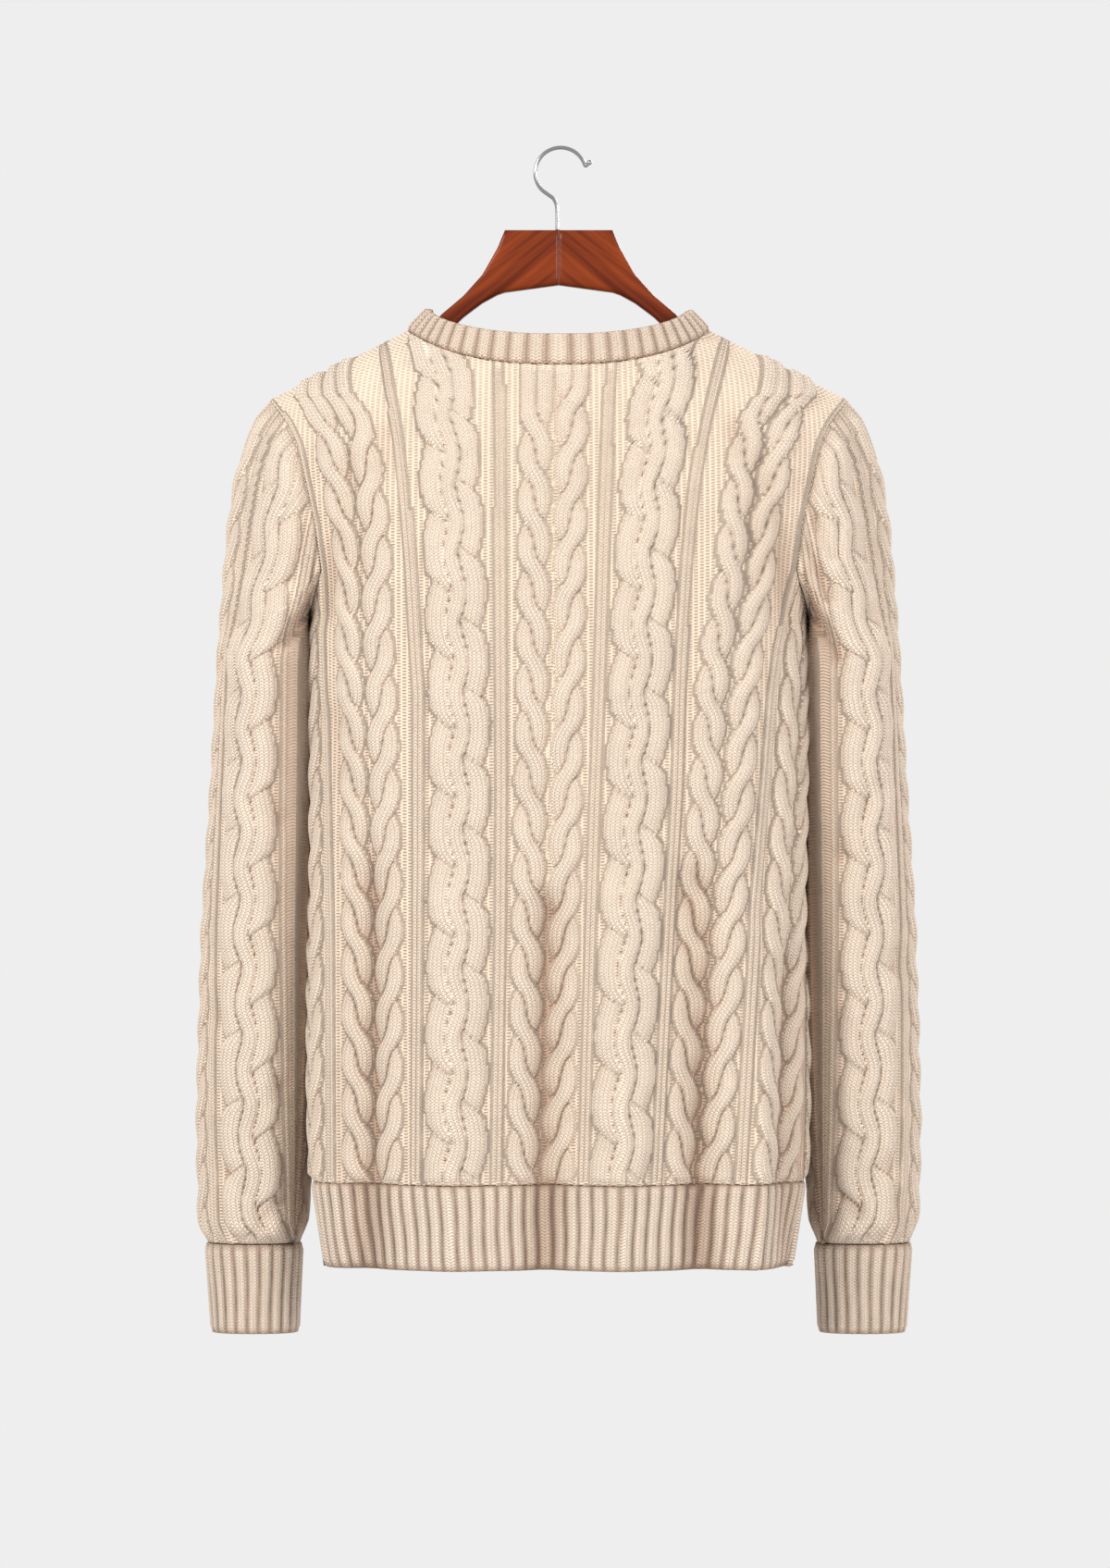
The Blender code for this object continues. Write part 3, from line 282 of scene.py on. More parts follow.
def knit_body(arc, height):
    """The knitting of the whole body at arc places and heights, gap by gap from side seam to side seam."""
    parts = []
    for first, last, kind, *crossings in zip(BORDERS, BORDERS[1:], *PATTERN.values()):
        left, right = rib_arc(first, height), rib_arc(last, height)
        narrow = np.minimum(1.0, 0.46 * (right - left) / PAIR_ROOM)
        room = (right - left) / (2.0 * SIDE_PAIR) if kind == "side ropes" else narrow
        place = (arc - 0.5 * (left + right)) / room
        if kind == "plait":
            parts.append(plait(place, height - PLAIT_LEVEL))
        else:
            for crossing, slant in zip(crossings, (-1.0, 1.0)):
                open_at = math.floor((ROPE_START - crossing * MM) / ROPE_CROSSING) * ROPE_CROSSING
                parts.append(rope(place - slant * PAIR_SPREAD, height - crossing * MM, slant, open_at))
        parts += [rib(arc - rib_arc(name, height)) for name in (first, last) if not name.startswith("seam")]
    return highest(parts, arc)


# Places across the pair of ropes at the side (mm), the width of a fine column, and levels of the trunk
SIDE_PLACES = (-33, -25, -13, -1, 13, 25, 33)
SIDE_FIRST, SIDE_SPAN = SIDE_PLACES[0], SIDE_PLACES[-1] - SIDE_PLACES[0]
CELL, TRUNK, MID_TRUNK = 1.86 * MM, slice(20, 110), 60


def column_arcs():
    """Arc place of fine columns from side seam to side seam at each level, evenly spaced in a gap."""
    columns = []
    for first, last in zip(BORDERS, BORDERS[1:]):
        left, right = RIB_ARCS[first], RIB_ARCS[last]
        count = 3 * round(np.max((right - left)[TRUNK]) / CELL / 3.0)
        share = np.arange(count) / count
        columns.append(left[:, None] + (right - left)[:, None] * share)
    return np.concatenate(columns + [RIB_ARCS["seam_right"][:, None]], axis=1)


COLUMNS = column_arcs()
SIDE_COUNT = int(np.argmin(np.abs(COLUMNS[MID_TRUNK] - RIB_ARCS["left_3"][MID_TRUNK])))
LOW_ROWS, HIGH_ROWS = 240, 96


def arc_at(height):
    """Arc place of every fine column (last axis) at heights, between the levels."""
    level, share = level_of(height)
    column = np.broadcast_to(np.arange(COLUMNS.shape[1]), height.shape)
    low, high = COLUMNS[level, column], COLUMNS[level + 1, column]
    return low + (high - low) * share


def body_turn(arc, height, front):
    """Ring angle of an arc place on the back, or of the place that faces it on the front."""
    if not front:
        return turn_of(arc, height)
    half = np.interp(height, LEVELS, HALF_ROUND)
    seam = np.where(arc > 0.0, rib_arc("seam_right", height), -rib_arc("seam_left", height))
    return turn_of(np.copysign(half - (half - seam) * np.abs(arc) / seam, arc), height)


def panel_point(arc, height, front):
    """Base surface of one half at arc places; above the underarm it stays on its own side."""
    side = 1.0 if front else -1.0
    points = body_point(body_turn(arc, height, front), height)
    own_side = side * np.maximum(side * points[..., 1], 0.0)
    points[..., 1] = np.where(height > UNDERARM, own_side, points[..., 1])
    return points


def side_share(index):
    """How far a column of the side lies towards the seam, from 0 at the rib to 1."""
    count = COLUMNS.shape[1]
    away = np.minimum(index, count - 1 - index) / SIDE_COUNT
    place = SIDE_FIRST + SIDE_SPAN * held(away)
    return 1.0 - np.interp(place, SIDE_PLACES, np.arange(7)) / 6.0


def panel_heights(front):
    """Heights of the grid: even rows up to the underarm scoop, then up to neck, shoulder and tip."""
    index = np.arange(COLUMNS.shape[1])
    low_top = SCOOP + (UNDERARM - SCOOP) * np.sin(0.5 * math.pi * side_share(index))
    low = HEM_TOP + (low_top - HEM_TOP) * (np.arange(LOW_ROWS + 1) / LOW_ROWS)[:, None]
    top = np.full(len(index), TIP_Z)
    for _ in range(12):
        level = np.minimum(top, NECK_Z - 0.3 * MM)
        x = panel_point(arc_at(level), level, front)[:, 0]
        top = np.where(np.abs(x) < NECK_X, neck_line(x, front), ridge(x))
    middle = (index >= SIDE_COUNT) & (index <= len(index) - 1 - SIDE_COUNT)
    rise = np.arange(1, HIGH_ROWS + 1)[:, None] / HIGH_ROWS
    steep = np.minimum(1.0, np.abs(x) / NECK_X) ** 3
    rise = (1.0 - steep) * rise + steep * (0.3 * rise + 0.7 * np.sin(0.5 * math.pi * rise))
    high = SCOOP + (top - SCOOP) * rise
    return low, high, middle


def facing(normal, outward):
    """Unit vectors, all turned over where they face inward on the whole."""
    normal = normal / np.maximum(np.linalg.norm(normal, axis=-1, keepdims=True), 1e-12)
    return normal * (1.0 if np.sum(normal * outward) > 0.0 else -1.0)


def grid_normals(points, outward):
    """Unit normals of a grid of points from its central differences, turned to face outward."""
    return facing(np.cross(np.gradient(points, axis=1), np.gradient(points, axis=0)), outward)


def crease(points, lines):
    """Soft troughs, or ridges where the depth is negative, each along a line in the cloth.

    The depth falls off as a bell curve with the distance from the line, or from its nearer end,
    as seen from behind: depth * exp(-(distance / width)^2).
    """
    sunk = np.zeros(points.shape[:-1])
    for x0, z0, x1, z1, width, depth in lines:
        start, run = np.array([x0, z0]) * MM, np.array([x1 - x0, z1 - z0]) * MM
        place = points[..., [0, 2]] - start
        share = held(place @ run / (run @ run))
        distance = np.linalg.norm(place - share[..., None] * run, axis=-1)
        sunk += depth * MM * np.exp(-(distance / (width * MM)) ** 2)
    return sunk


# Folds of the back and of the front: x and z of both ends, width and depth (mm)
BACK_FOLDS = (
    (-150, -235, -172, -345, 9, 2.6), (-128, -215, -150, -330, 10, 1.8),
    (150, -235, 170, -350, 9, 3), (130, -212, 146, -320, 10, 2.2),
    (-137, -540, -139, -826, 15, 5.5), (-6, -560, -10, -826, 15, 6),
    (100, -540, 103, -826, 14, 6.5), (164, -600, 167, -826, 9, 3.6),
    (-80, -560, -78, -826, 22, -3.6), (42, -560, 45, -826, 20, -3.6),
    (140, -580, 143, -826, 12, -3), (60, -330, 30, -480, 24, -2),
    (-60, -300, -50, -440, 24, -2), (-160, -420, -140, -520, 12, 1.8),
)
FRONT_FOLDS = (
    (-150, -240, -170, -340, 9, 2.4), (126, -215, 150, -335, 10, 2.2),
    (152, -245, 168, -350, 9, 1.8), (-130, -220, -146, -320, 11, 1.8),
    (-100, -560, -112, -826, 15, 3.4), (20, -580, 12, -826, 14, 3),
    (90, -540, 112, -826, 14, 3.2), (-60, -250, -20, -330, 18, 1.6),
    (58, -250, 22, -335, 18, 1.6), (150, -430, 136, -540, 12, 1.6),
    (-45, -580, -40, -826, 20, -2.2), (60, -580, 58, -826, 20, -2.2),
)


def add_object(name, data):
    """An object of a mesh, light or camera in the scene."""
    thing = bpy.data.objects.new(name, data)
    bpy.context.scene.collection.objects.link(thing)
    return thing


def cloth_mesh(name, base, normal, rise, sunk, knit, material, wall=WALL, mirror=1, wrap=False, keep=None):
    """A closed cloth: a fine outer grid, an inner grid of every third row and column, and rims.

    The outer grid stands off the base by the rise less the depth of the folds, the inner one lies
    below it by the wall and the folds. knit holds the stitch coordinates and shade of the outer
    points. Where keep is given, only its columns have the rows from its row on.
    """
    flip = np.array([mirror, 1.0, 1.0])
    outer = (base + normal * (rise - sunk)[..., None]) * flip
    inner = (base - normal * (wall + sunk)[..., None]) * flip
    outer, inner, knit = [grid[:, ::mirror] for grid in (outer, inner, knit)]
    rows, columns = outer.shape[:2]
    few = inner[::3, ::3]
    numbers = np.arange(rows * columns).reshape(rows, columns)
    inside = rows * columns + np.arange(few.shape[0] * few.shape[1]).reshape(few.shape[:2])
    if wrap:
        numbers, inside = [np.concatenate([grid, grid[:, :1]], axis=1) for grid in (numbers, inside)]
    tris = []

    def quads(grid, flip):
        """Two triangles for each cell, with a vertex at each corner; flipped ones face the other way."""
        a, b, c, d = grid[:-1, :-1], grid[:-1, 1:], grid[1:, 1:], grid[1:, :-1]
        for three in ((a, b, c), (a, c, d)):
            tris.append(np.stack(three[::-1] if flip else three, -1).reshape(-1, 3))

    def rim(fine, coarse):
        """Fans from each coarse vertex to its three fine steps, and one triangle to the next."""
        at = 3 * np.arange(len(coarse) - 1)
        for k in range(3):
            tris.append(np.stack([fine[at + k + 1], fine[at + k], coarse[:-1]], -1))
        tris.append(np.stack([fine[at + 3], coarse[:-1], coarse[1:]], -1))

    def edges(grid, row, left, right):
        """The edges of a grid that has only some columns from a row on, all in the same direction."""
        ends = [grid[0], grid[-1, left:right + 1][::-1]]
        sides = [grid[:row + 1, -1], grid[row, right:][::-1], grid[row:, right],
                 grid[row:, left][::-1], grid[row, :left + 1][::-1], grid[:row + 1, 0][::-1]]
        return ends if wrap else ends + sides

    turns = np.array(keep or (rows - 1, 0, numbers.shape[1] - 1))
    for grid, (row, left, right), flip in ((numbers, turns, False), (inside, turns // 3, True)):
        quads(grid[:row + 1], flip)
        quads(grid[row:, left:right + 1], flip)
    for fine, coarse in zip(edges(numbers, *turns), edges(inside, *(turns // 3))):
        rim(fine, coarse)
    plain = knit[::3, ::3] * (1.0, 1.0, 0.0, 0.0) + (0.0, 0.0, 1.0, 0.0)
    used, faces = np.unique(np.concatenate(tris), return_inverse=True)
    points = np.concatenate([outer.reshape(-1, 3), few.reshape(-1, 3)])[used]
    data = np.concatenate([knit.reshape(-1, 4), plain.reshape(-1, 4)])[used].astype(np.float32)
    faces = faces.reshape(-1, 3)
    mesh = bpy.data.meshes.new(name)
    mesh.from_pydata(points.tolist(), [], faces.tolist(), shade_flat=False)
    mesh.attributes.new("stitch", "FLOAT_VECTOR", "POINT").data.foreach_set("vector", data[:, :3].ravel())
    # This layer carries the painted shade from knit, not a height
    mesh.attributes.new("rise", "FLOAT", "POINT").data.foreach_set("value", data[:, 3].copy())
    corners = points[faces]
    if np.sum(corners[:, 0] * np.cross(corners[:, 1], corners[:, 2])) < 0.0:
        mesh.flip_normals()
    mesh.validate()
    mesh.materials.append(material)
    return add_object(name, mesh)


def feed(tree, node, inputs):
    """Give inputs of a node, by name or number, a value each, or a link where it is an output."""
    for name, value in inputs.items():
        if isinstance(value, bpy.types.NodeSocket):
            tree.links.new(value, node.inputs[name])
        else:
            node.inputs[name].default_value = value


def add_node(tree, kind, inputs, **settings):
    """A new shader node with its settings and its inputs."""
    node = tree.nodes.new("ShaderNode" + kind)
    for name, value in settings.items():
        setattr(node, name, value)
    feed(tree, node, inputs)
    return node


def calculate(tree, operation, *values):
    """Output of a Math node, of numbers or outputs."""
    return add_node(tree, "Math", dict(enumerate(values)), operation=operation).outputs[0]


def carry_over(tree, value, low, high, to_low=0.0, to_high=1.0):
    """Output of a Map Range node: a value carried from one range to another, and held at its ends."""
    ends = {"Value": value, "From Min": low, "From Max": high, "To Min": to_low, "To Max": to_high}
    return add_node(tree, "MapRange", ends).outputs["Result"]


def new_material(name, inputs):
    """A material with values for inputs of its shader."""
    material = bpy.data.materials.new(name)
    material.use_nodes = True
    feed(material.node_tree, material.node_tree.nodes["Principled BSDF"], inputs)
    return material


def stitch_group():
    """Height of single stitches from their own coordinates: rows of V on strands, bumps on purl."""
    group = bpy.data.node_groups.new("stitches", "ShaderNodeTree")
    group.interface.new_socket("Stitch", in_out="INPUT", socket_type="NodeSocketVector")
    for name, value in (("Column Width", 3.6 * MM), ("Row Height", 2.4 * MM)):
        socket = group.interface.new_socket(name, in_out="INPUT", socket_type="NodeSocketFloat")
        socket.default_value = value
    group.interface.new_socket("Height", in_out="OUTPUT", socket_type="NodeSocketFloat")
    source, result = group.nodes.new("NodeGroupInput"), group.nodes.new("NodeGroupOutput")
    of = functools.partial(calculate, group)
    across, along, smooth = add_node(group, "SeparateXYZ", {0: source.outputs["Stitch"]}).outputs
    column = of("DIVIDE", across, source.outputs["Column Width"])
    row = of("DIVIDE", along, source.outputs["Row Height"])
    fold = of("ABSOLUTE", of("SUBTRACT", of("FRACT", column), 0.5))
    vee = of("SINE", of("MULTIPLY", of("ADD", row, of("MULTIPLY", fold, 1.5)), math.tau))
    groove = of("COSINE", of("MULTIPLY", of("SUBTRACT", fold, 0.25), math.tau))
    strand = of("ADD", of("MULTIPLY", vee, 0.62), of("MULTIPLY", groove, 0.5))
    shift = of("MULTIPLY", of("FLOOR", of("MULTIPLY", column, 0.8)), 0.5)
    bump_row = of("SINE", of("MULTIPLY", of("ADD", row, shift), math.tau))
    bump_column = of("ABSOLUTE", of("SINE", of("MULTIPLY", column, 0.8 * math.pi)))
    purl = of("MULTIPLY", of("MULTIPLY", bump_row, bump_column), 0.75)
    height = add_node(group, "Mix", {"Factor": smooth, "A": purl, "B": strand}).outputs["Result"]
    group.links.new(height, result.inputs["Height"])
    return group


STITCHES = stitch_group()
PAINTED_SHADE_SPAN = 4.0 * MM


def knit_material(name, high, ground, low, column_width, row_height):
    """Soft wool with painted shade: its colour is painted lighter on the crests and deeper over the ground to
    the valleys, lines and folds, and darker in the hollows of the stitches; stitches are also bump.
    """
    material = new_material(name, {"Roughness": 0.88, "Specular IOR Level": 0.25, "Sheen Weight": 0.22,
                                   "Sheen Roughness": 0.45, "Sheen Tint": (1.0, 0.9, 0.78, 1.0)})
    tree = material.node_tree
    # The layer named rise holds the painted shade of each point, not its height
    stitch, rise = [add_node(tree, "Attribute", {}, attribute_name=layer) for layer in ("stitch", "rise")]
    place = add_node(tree, "TexCoord", {}).outputs["Object"]
    sizes = {"Stitch": stitch.outputs["Vector"], "Column Width": column_width, "Row Height": row_height}
    stitches = add_node(tree, "Group", sizes, node_tree=STITCHES).outputs["Height"]
    fuzz, broad = [add_node(tree, "TexNoise", {"Vector": place, **sizes}).outputs["Fac"]
                   for sizes in ({"Scale": 900.0, "Detail": 2.0}, {"Scale": 45.0, "Detail": 3.0})]
    # Painted shade chooses the colour: the low colour in deep shade, the ground colour at none, the high
    # colour as painted light on the crests
    depth = carry_over(tree, rise.outputs["Fac"], -PAINTED_SHADE_SPAN, PAINTED_SHADE_SPAN)
    ramp = add_node(tree, "ValToRGB", {"Fac": depth})
    ramp.color_ramp.elements[0].color = (*low, 1.0)
    ramp.color_ramp.elements[1].color = (*high, 1.0)
    ramp.color_ramp.elements.new(0.5).color = (*ground, 1.0)
    # Painted shade and highlight of single stitches: darker in their hollows, lighter on their tops
    stitch_shade = carry_over(tree, stitches, -0.6, 0.6, 0.78, 1.1)
    drift = carry_over(tree, broad, 0.3, 0.7, 0.95, 1.04)
    share = {0: ramp.outputs["Color"], "Scale": calculate(tree, "MULTIPLY", stitch_shade, drift)}
    colour = add_node(tree, "VectorMath", share, operation="SCALE").outputs["Vector"]
    height = calculate(tree, "MULTIPLY_ADD", fuzz, 0.3, stitches)
    bump = add_node(tree, "Bump", {"Strength": 0.9, "Distance": 0.002, "Height": height}).outputs["Normal"]
    feed(tree, tree.nodes["Principled BSDF"], {"Base Color": colour, "Normal": bump})
    return material


# Wool colours: painted light on the crests, the ground, and painted shade in the valleys and folds
WOOL = knit_material("wool_cables", (0.92, 0.78, 0.65),
                     (0.84, 0.685, 0.55), (0.52, 0.36, 0.265), 3.4 * MM, 2.3 * MM)
# Painted shade: how dark the colour is painted along the lines where one strand dips under another, the share
# of a fold's depth painted as shade in its trough, and the painted shade of the sides under the arms
LINE_PAINTED_SHADE, FOLD_PAINTED_SHADE, SIDE_SHADE = 5.5 * MM, 0.75, 2.0 * MM
UNDER_FADE = 45.0 * MM


def build_panel(name, node, front, folds):
    """Half of the body: the base surface, its folds, the cables out along the normal, and the wall."""
    low, high, middle = panel_heights(front)
    height = np.concatenate([low, np.where(middle, high, low[-1])])
    arc = arc_at(height)
    base = panel_point(arc, height, front)
    outward = np.array([0.0, 1.0 if front else -1.0, 0.0])
    upper = slice(SIDE_COUNT, base.shape[1] - SIDE_COUNT)
    normal = np.zeros(base.shape)
    normal[:LOW_ROWS + 1] = grid_normals(base[:LOW_ROWS + 1], outward)
    normal[:, upper] = grid_normals(base[:, upper], outward)
    rise, across, smooth, line = knit_body(arc, height)
    row, column, last = np.arange(height.shape[0])[:, None], np.arange(height.shape[1]), height.shape[1] - 1
    fade = held(row / 3.0) * held((height.shape[0] - 1 - row) / 5.0)
    to_side = side_share(column)
    under = held((low[-1] - height) / UNDER_FADE)
    fade = fade * np.where((to_side > 0.0) & (row <= LOW_ROWS), under, 1.0)
    seam = held(np.minimum(column, last - column) / 2.0)
    sunk = crease(base, folds) * np.where(row < 8, 1.0, fade)
    # Painted shade: darker between the strands, along the lines where they cross and in the troughs of folds,
    # lighter on the crests
    shade = (rise - LINE_PAINTED_SHADE * line) * fade - FOLD_PAINTED_SHADE * np.maximum(sunk, 0.0)
    # Painted shade on the sides under the arms, where the sleeves shade the body
    shade = shade - SIDE_SHADE * to_side * under
    knit = np.stack([across, height, smooth * fade, shade], axis=-1)
    piece = cloth_mesh(name, base, normal, rise * fade * seam, sunk, knit, WOOL,
                       keep=(LOW_ROWS, SIDE_COUNT, last - SIDE_COUNT))
    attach(piece, "root")
    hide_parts(node)
    return base


back_cloth = build_panel("back_knit", "back_panel", False, BACK_FOLDS)
front_cloth = build_panel("front_knit", "front_panel", True, FRONT_FOLDS)

# ---------------------------------------------------------------- hem
# A strip of rib knitted on below each half of the body. It draws the cloth in a little, its two ends
# meet at the side seams, and its lower edge is a plain cast-off.
HEM_RIBS, HEM_RIB_RISE, RIB_PITCH = 44, 2.8 * MM, 8.4 * MM
# Rib colours: painted light on the crests, the ground, and painted shade in the grooves and folds
RIB_KNIT = knit_material("wool_rib", (0.92, 0.78, 0.65),
                         (0.62, 0.465, 0.36), (0.34, 0.215, 0.15), 3.0 * MM, 2.3 * MM)


def rib_wave(place):
    """Round ribs with narrow grooves: (0.5 + 0.5 cos(2 pi place))^0.4, one rib for each whole number."""
    return (0.5 + 0.5 * np.cos(math.tau * place)) ** 0.4


def rib_stitches(place, height, shade):
    """Stitch coordinates and shade of a rib: the distance across it, the height, and strands throughout."""
    across = (np.mod(place + 0.5, 1.0) - 0.5) * RIB_PITCH
    return np.stack(np.broadcast_arrays(across, height, 1.0, shade), axis=-1)


def build_hem(name, node, front, folds):
    """One strip: the body's rings below the seam and its folds, with ribs out along the normal."""
    share = np.linspace(0.0, 1.0, 9 * HEM_RIBS + 1)
    drop = np.linspace(0.0, 1.0, 25)[:, None]
    height = (HEM_TOP - 0.4 * MM + (HEM_BOTTOM - HEM_TOP) * drop) + 0.0 * share
    half = np.interp(HEM_TOP, LEVELS, HALF_ROUND)
    left, right = rib_arc("seam_left", HEM_TOP), rib_arc("seam_right", HEM_TOP)
    first, last = (right, 2.0 * half + left) if front else (left, right)
    scale = np.interp(height, LEVELS, HALF_ROUND) / half
    arc = (first + (last - first) * share) * scale
    arc = np.where(arc > half * scale, arc - 2.0 * half * scale, arc)
    base = body_point(turn_of(arc, height), height)
    normal = grid_normals(base, np.array([0.0, 1.0 if front else -1.0, 0.0]))
    ends = np.clip(drop / 0.05, 0.35, 1.0) * np.clip((1.0 - drop) / 0.08, 0.4, 1.0)
    wander = 0.05 * np.sin(7.0 * drop + 23.0 * share)
    wave = rib_wave(HEM_RIBS * share + wander)
    sunk = crease(base, folds)
    # Painted shade: darker in the grooves of the ribs and in the troughs of folds, lighter on the crests
    shade = (2.5 * wave * ends - 0.7) * HEM_RIB_RISE - FOLD_PAINTED_SHADE * np.maximum(sunk, 0.0)
    knit = rib_stitches(HEM_RIBS * share, height, shade)
    piece = cloth_mesh(name, base, normal, wave * ends * HEM_RIB_RISE, sunk, knit, RIB_KNIT)
    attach(piece, "root")
    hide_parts(node)


build_hem("back_hem", "hem_rib_back", False, BACK_FOLDS)
build_hem("front_hem", "hem_rib_front", True, FRONT_FOLDS)

# ---------------------------------------------------------------- sleeves
# Each sleeve is knitted in one piece with a plait at the back and the front, a pair of ropes along
# its outer line and one under the arm. It is set into the armhole with a sewn seam and hangs hollow.
SLEEVE = {
    "height": (-874.5, -808.3, -792, -720, -641, -573, -471, -380),
    "outer": (255, 259.5, 263, 264, 262, 259.5, 252.5, 247),
    "inner": (194.5, 191.5, 186, 180, 177, 175, 175, 176),
    "half_depth": (31, 36, 42, 45, 49, 53, 59, 63),
    "forward": (46, 44, 43, 38, 32, 26, 16, 8),
}
SLEEVE_RING, CUFF_TOP, CUFF_BOTTOM = -380.0 * MM, -808.3 * MM, -874.5 * MM
SLEEVE_CLEARANCE, SLEEVE_POWER = 1.4 * MM, 2.3
AROUND = np.linspace(0.0, math.pi, 181)
# Places of ribs and cables round half a sleeve (mm) from its outer line, the last three from the
# underarm line, and how many fine columns lie between them
HALF_PLACES = (0, 7, 13, 19, 25, 34, 42, 51, 64.5, 78, 87, 95, -25, -13, 0)
HALF_CELLS = (8, 8, 8, 8, 9, 9, 9, 10, 10, 5, 4, 5, 5, 4)
FINE = np.concatenate([i + np.arange(n) / n for i, n in enumerate(HALF_CELLS)] + [[float(len(HALF_CELLS))]])
RIB_CELLS, SCOOP_CELLS = 8.0, 6.0
CAP_STEPS, ARM_STEPS = 96, 222
HALF_LENGTH, PLAIT_PLACE, SLEEVE_RIBS = 132.0 * MM, 64.5 * MM, (34.0 * MM, 95.0 * MM)
SLEEVE_CROSSINGS, SLEEVE_OPEN_AT = (-560.0 * MM, -556.0 * MM), 330.0 * MM
# Where the sleeve faces the body its cables grow flatter and its colour is painted in deeper shade
FREE_PLACES, FREE_SHARES, HIDDEN_SHADE = (78.0 * MM, 104.0 * MM), (1.0, 0.3), 5.0 * MM
# How the head leaves the armhole at its tip and at the underarm, and how it meets the first ring
HEAD_OUTWARD, HEAD_UPWARD = (95.0 * MM, -3.0 * MM), (-120.0 * MM, -30.0 * MM)
HEAD_SWELL, HEAD_LEAN, HEAD_DROP = 30.0 * MM, 12.0 * MM, 1.15
# Folds of the right sleeve, and of the left one mirrored to the right, as the folds of the body
RIGHT_FOLDS = (
    (176, -252, 199, -304, 5, 4), (174, -284, 198, -334, 5, 4),
    (177, -318, 202, -376, 5.5, 3.6), (212, -262, 226, -345, 9, 1.8),
    (232, -470, 206, -520, 8, 2), (226, -560, 252, -605, 9, 1.8),
    (208, -640, 236, -690, 9, 1.8), (240, -748, 214, -778, 8, 2.2),
    (210, -770, 232, -800, 6, 2), (250, -775, 262, -800, 6, 1.6),
)
LEFT_FOLDS = (
    (178, -262, 196, -318, 5, 2.4), (176, -310, 198, -365, 5.5, 2.6),
    (214, -270, 230, -350, 9, 1.6), (230, -440, 205, -495, 8, 1.8),
    (222, -590, 250, -640, 9, 1.8), (206, -690, 234, -735, 8, 2),
    (242, -755, 216, -786, 7, 2.2), (206, -776, 226, -802, 6, 1.8),
)


def body_reach(y, height):
    """How far out a sleeve stays at a depth y, so that it lies beside the body and not in it."""
    half = look(BODY, "half_width", height) + SLEEVE_CLEARANCE
    depth = np.where(y < 0.0, look(BODY, "back", height), look(BODY, "front", height)) + SLEEVE_CLEARANCE
    return half * (1.0 - held(np.abs(y) / depth) ** SECTION_POWER) ** (1.0 / SECTION_POWER)


def half_rings(height, front):
    """Half rings of the right sleeve at heights: superellipses from the outer to the underarm line."""
    height = height[:, None]
    outer, inner = look(SLEEVE, "outer", height), look(SLEEVE, "inner", height)
    ring = reach(AROUND, SLEEVE_POWER)
    x = 0.5 * (outer + inner) + 0.5 * (outer - inner) * ring * np.cos(AROUND)
    side = (1.0 if front else -1.0) * np.abs(np.sin(AROUND))
    y = look(SLEEVE, "forward", height) + look(SLEEVE, "half_depth", height) * ring * side
    x = np.where(height > HEM_BOTTOM - 20.0 * MM, np.maximum(x, body_reach(y, height)), x)
    return x, y


def half_places(half_length):
    """Place of every fine column on half rings of given lengths, ribs and cables keeping their width."""
    fixed = np.array(HALF_PLACES) * MM + np.zeros((len(half_length), 1))
    fixed[:, -3:] += half_length[:, None]
    low = np.minimum(FINE.astype(int), len(HALF_CELLS) - 1)
    return fixed[:, low] + (fixed[:, low + 1] - fixed[:, low]) * (FINE - low)


OWN_PLACES = half_places(np.array([HALF_LENGTH]))


def ring_points(x, y, height, places, arcs):
    """Points at lengths along rings, one row of places and of arcs for each ring."""
    flat = [[np.interp(*three) for three in zip(places, arcs, values)] for values in (x, y)]
    return np.stack([*np.array(flat), np.broadcast_to(height[:, None], places.shape)], axis=-1)


def armhole_edge(front):
    """Edge of the right armhole: down the last rib from the tip, then along the scoop to the seam."""
    step = 1.0 - held(FINE / RIB_CELLS)
    rise = 0.3 * step + 0.7 * np.sin(0.5 * math.pi * step)
    side = held((FINE - RIB_CELLS) / SCOOP_CELLS)
    height = SCOOP + (TIP_Z - SCOOP) * rise + (UNDERARM - SCOOP) * np.sin(0.5 * math.pi * side)
    place = (np.interp(SCOOP_CELLS * side, np.arange(7), SIDE_PLACES) - SIDE_FIRST) / SIDE_SPAN
    arc = rib_arc("right_3", height) + (rib_arc("seam_right", height) - rib_arc("right_3", height)) * place
    points = panel_point(arc, height, front)
    points[0] = (TIP_X, 0.0, TIP_Z)
    return points


def half_sleeve(front):
    """Base points of half a right sleeve: a cubic sweep from the armhole to the first ring, then rings."""
    height = np.linspace(SLEEVE_RING, CUFF_TOP + 0.4 * MM, ARM_STEPS + 1)
    x, y = half_rings(height, front)
    arcs = ring_arcs(x, y)
    rings = ring_points(x, y, height, half_places(arcs[:, -1]), arcs)
    first, last = armhole_edge(front), rings[0]
    share = (FINE / FINE[-1])[:, None]
    swell = (HEAD_SWELL if front else -HEAD_SWELL) * np.sin(math.pi * share)
    outward, upward = [low + (high - low) * share for low, high in (HEAD_OUTWARD, HEAD_UPWARD)]
    leave = np.concatenate([outward, swell, upward], axis=1)
    drop = -HEAD_DROP * (first - last)[:, 2:]
    arrive = np.concatenate([HEAD_LEAN * (1.0 - share), 0.0 * share, drop], axis=1)
    q = (np.arange(CAP_STEPS) / CAP_STEPS)[:, None, None]
    cap = ((2 * q ** 3 - 3 * q ** 2 + 1) * first + (q ** 3 - 2 * q ** 2 + q) * leave
           + (3 * q ** 2 - 2 * q ** 3) * last + (q ** 3 - q ** 2) * arrive)
    return np.concatenate([cap, rings])


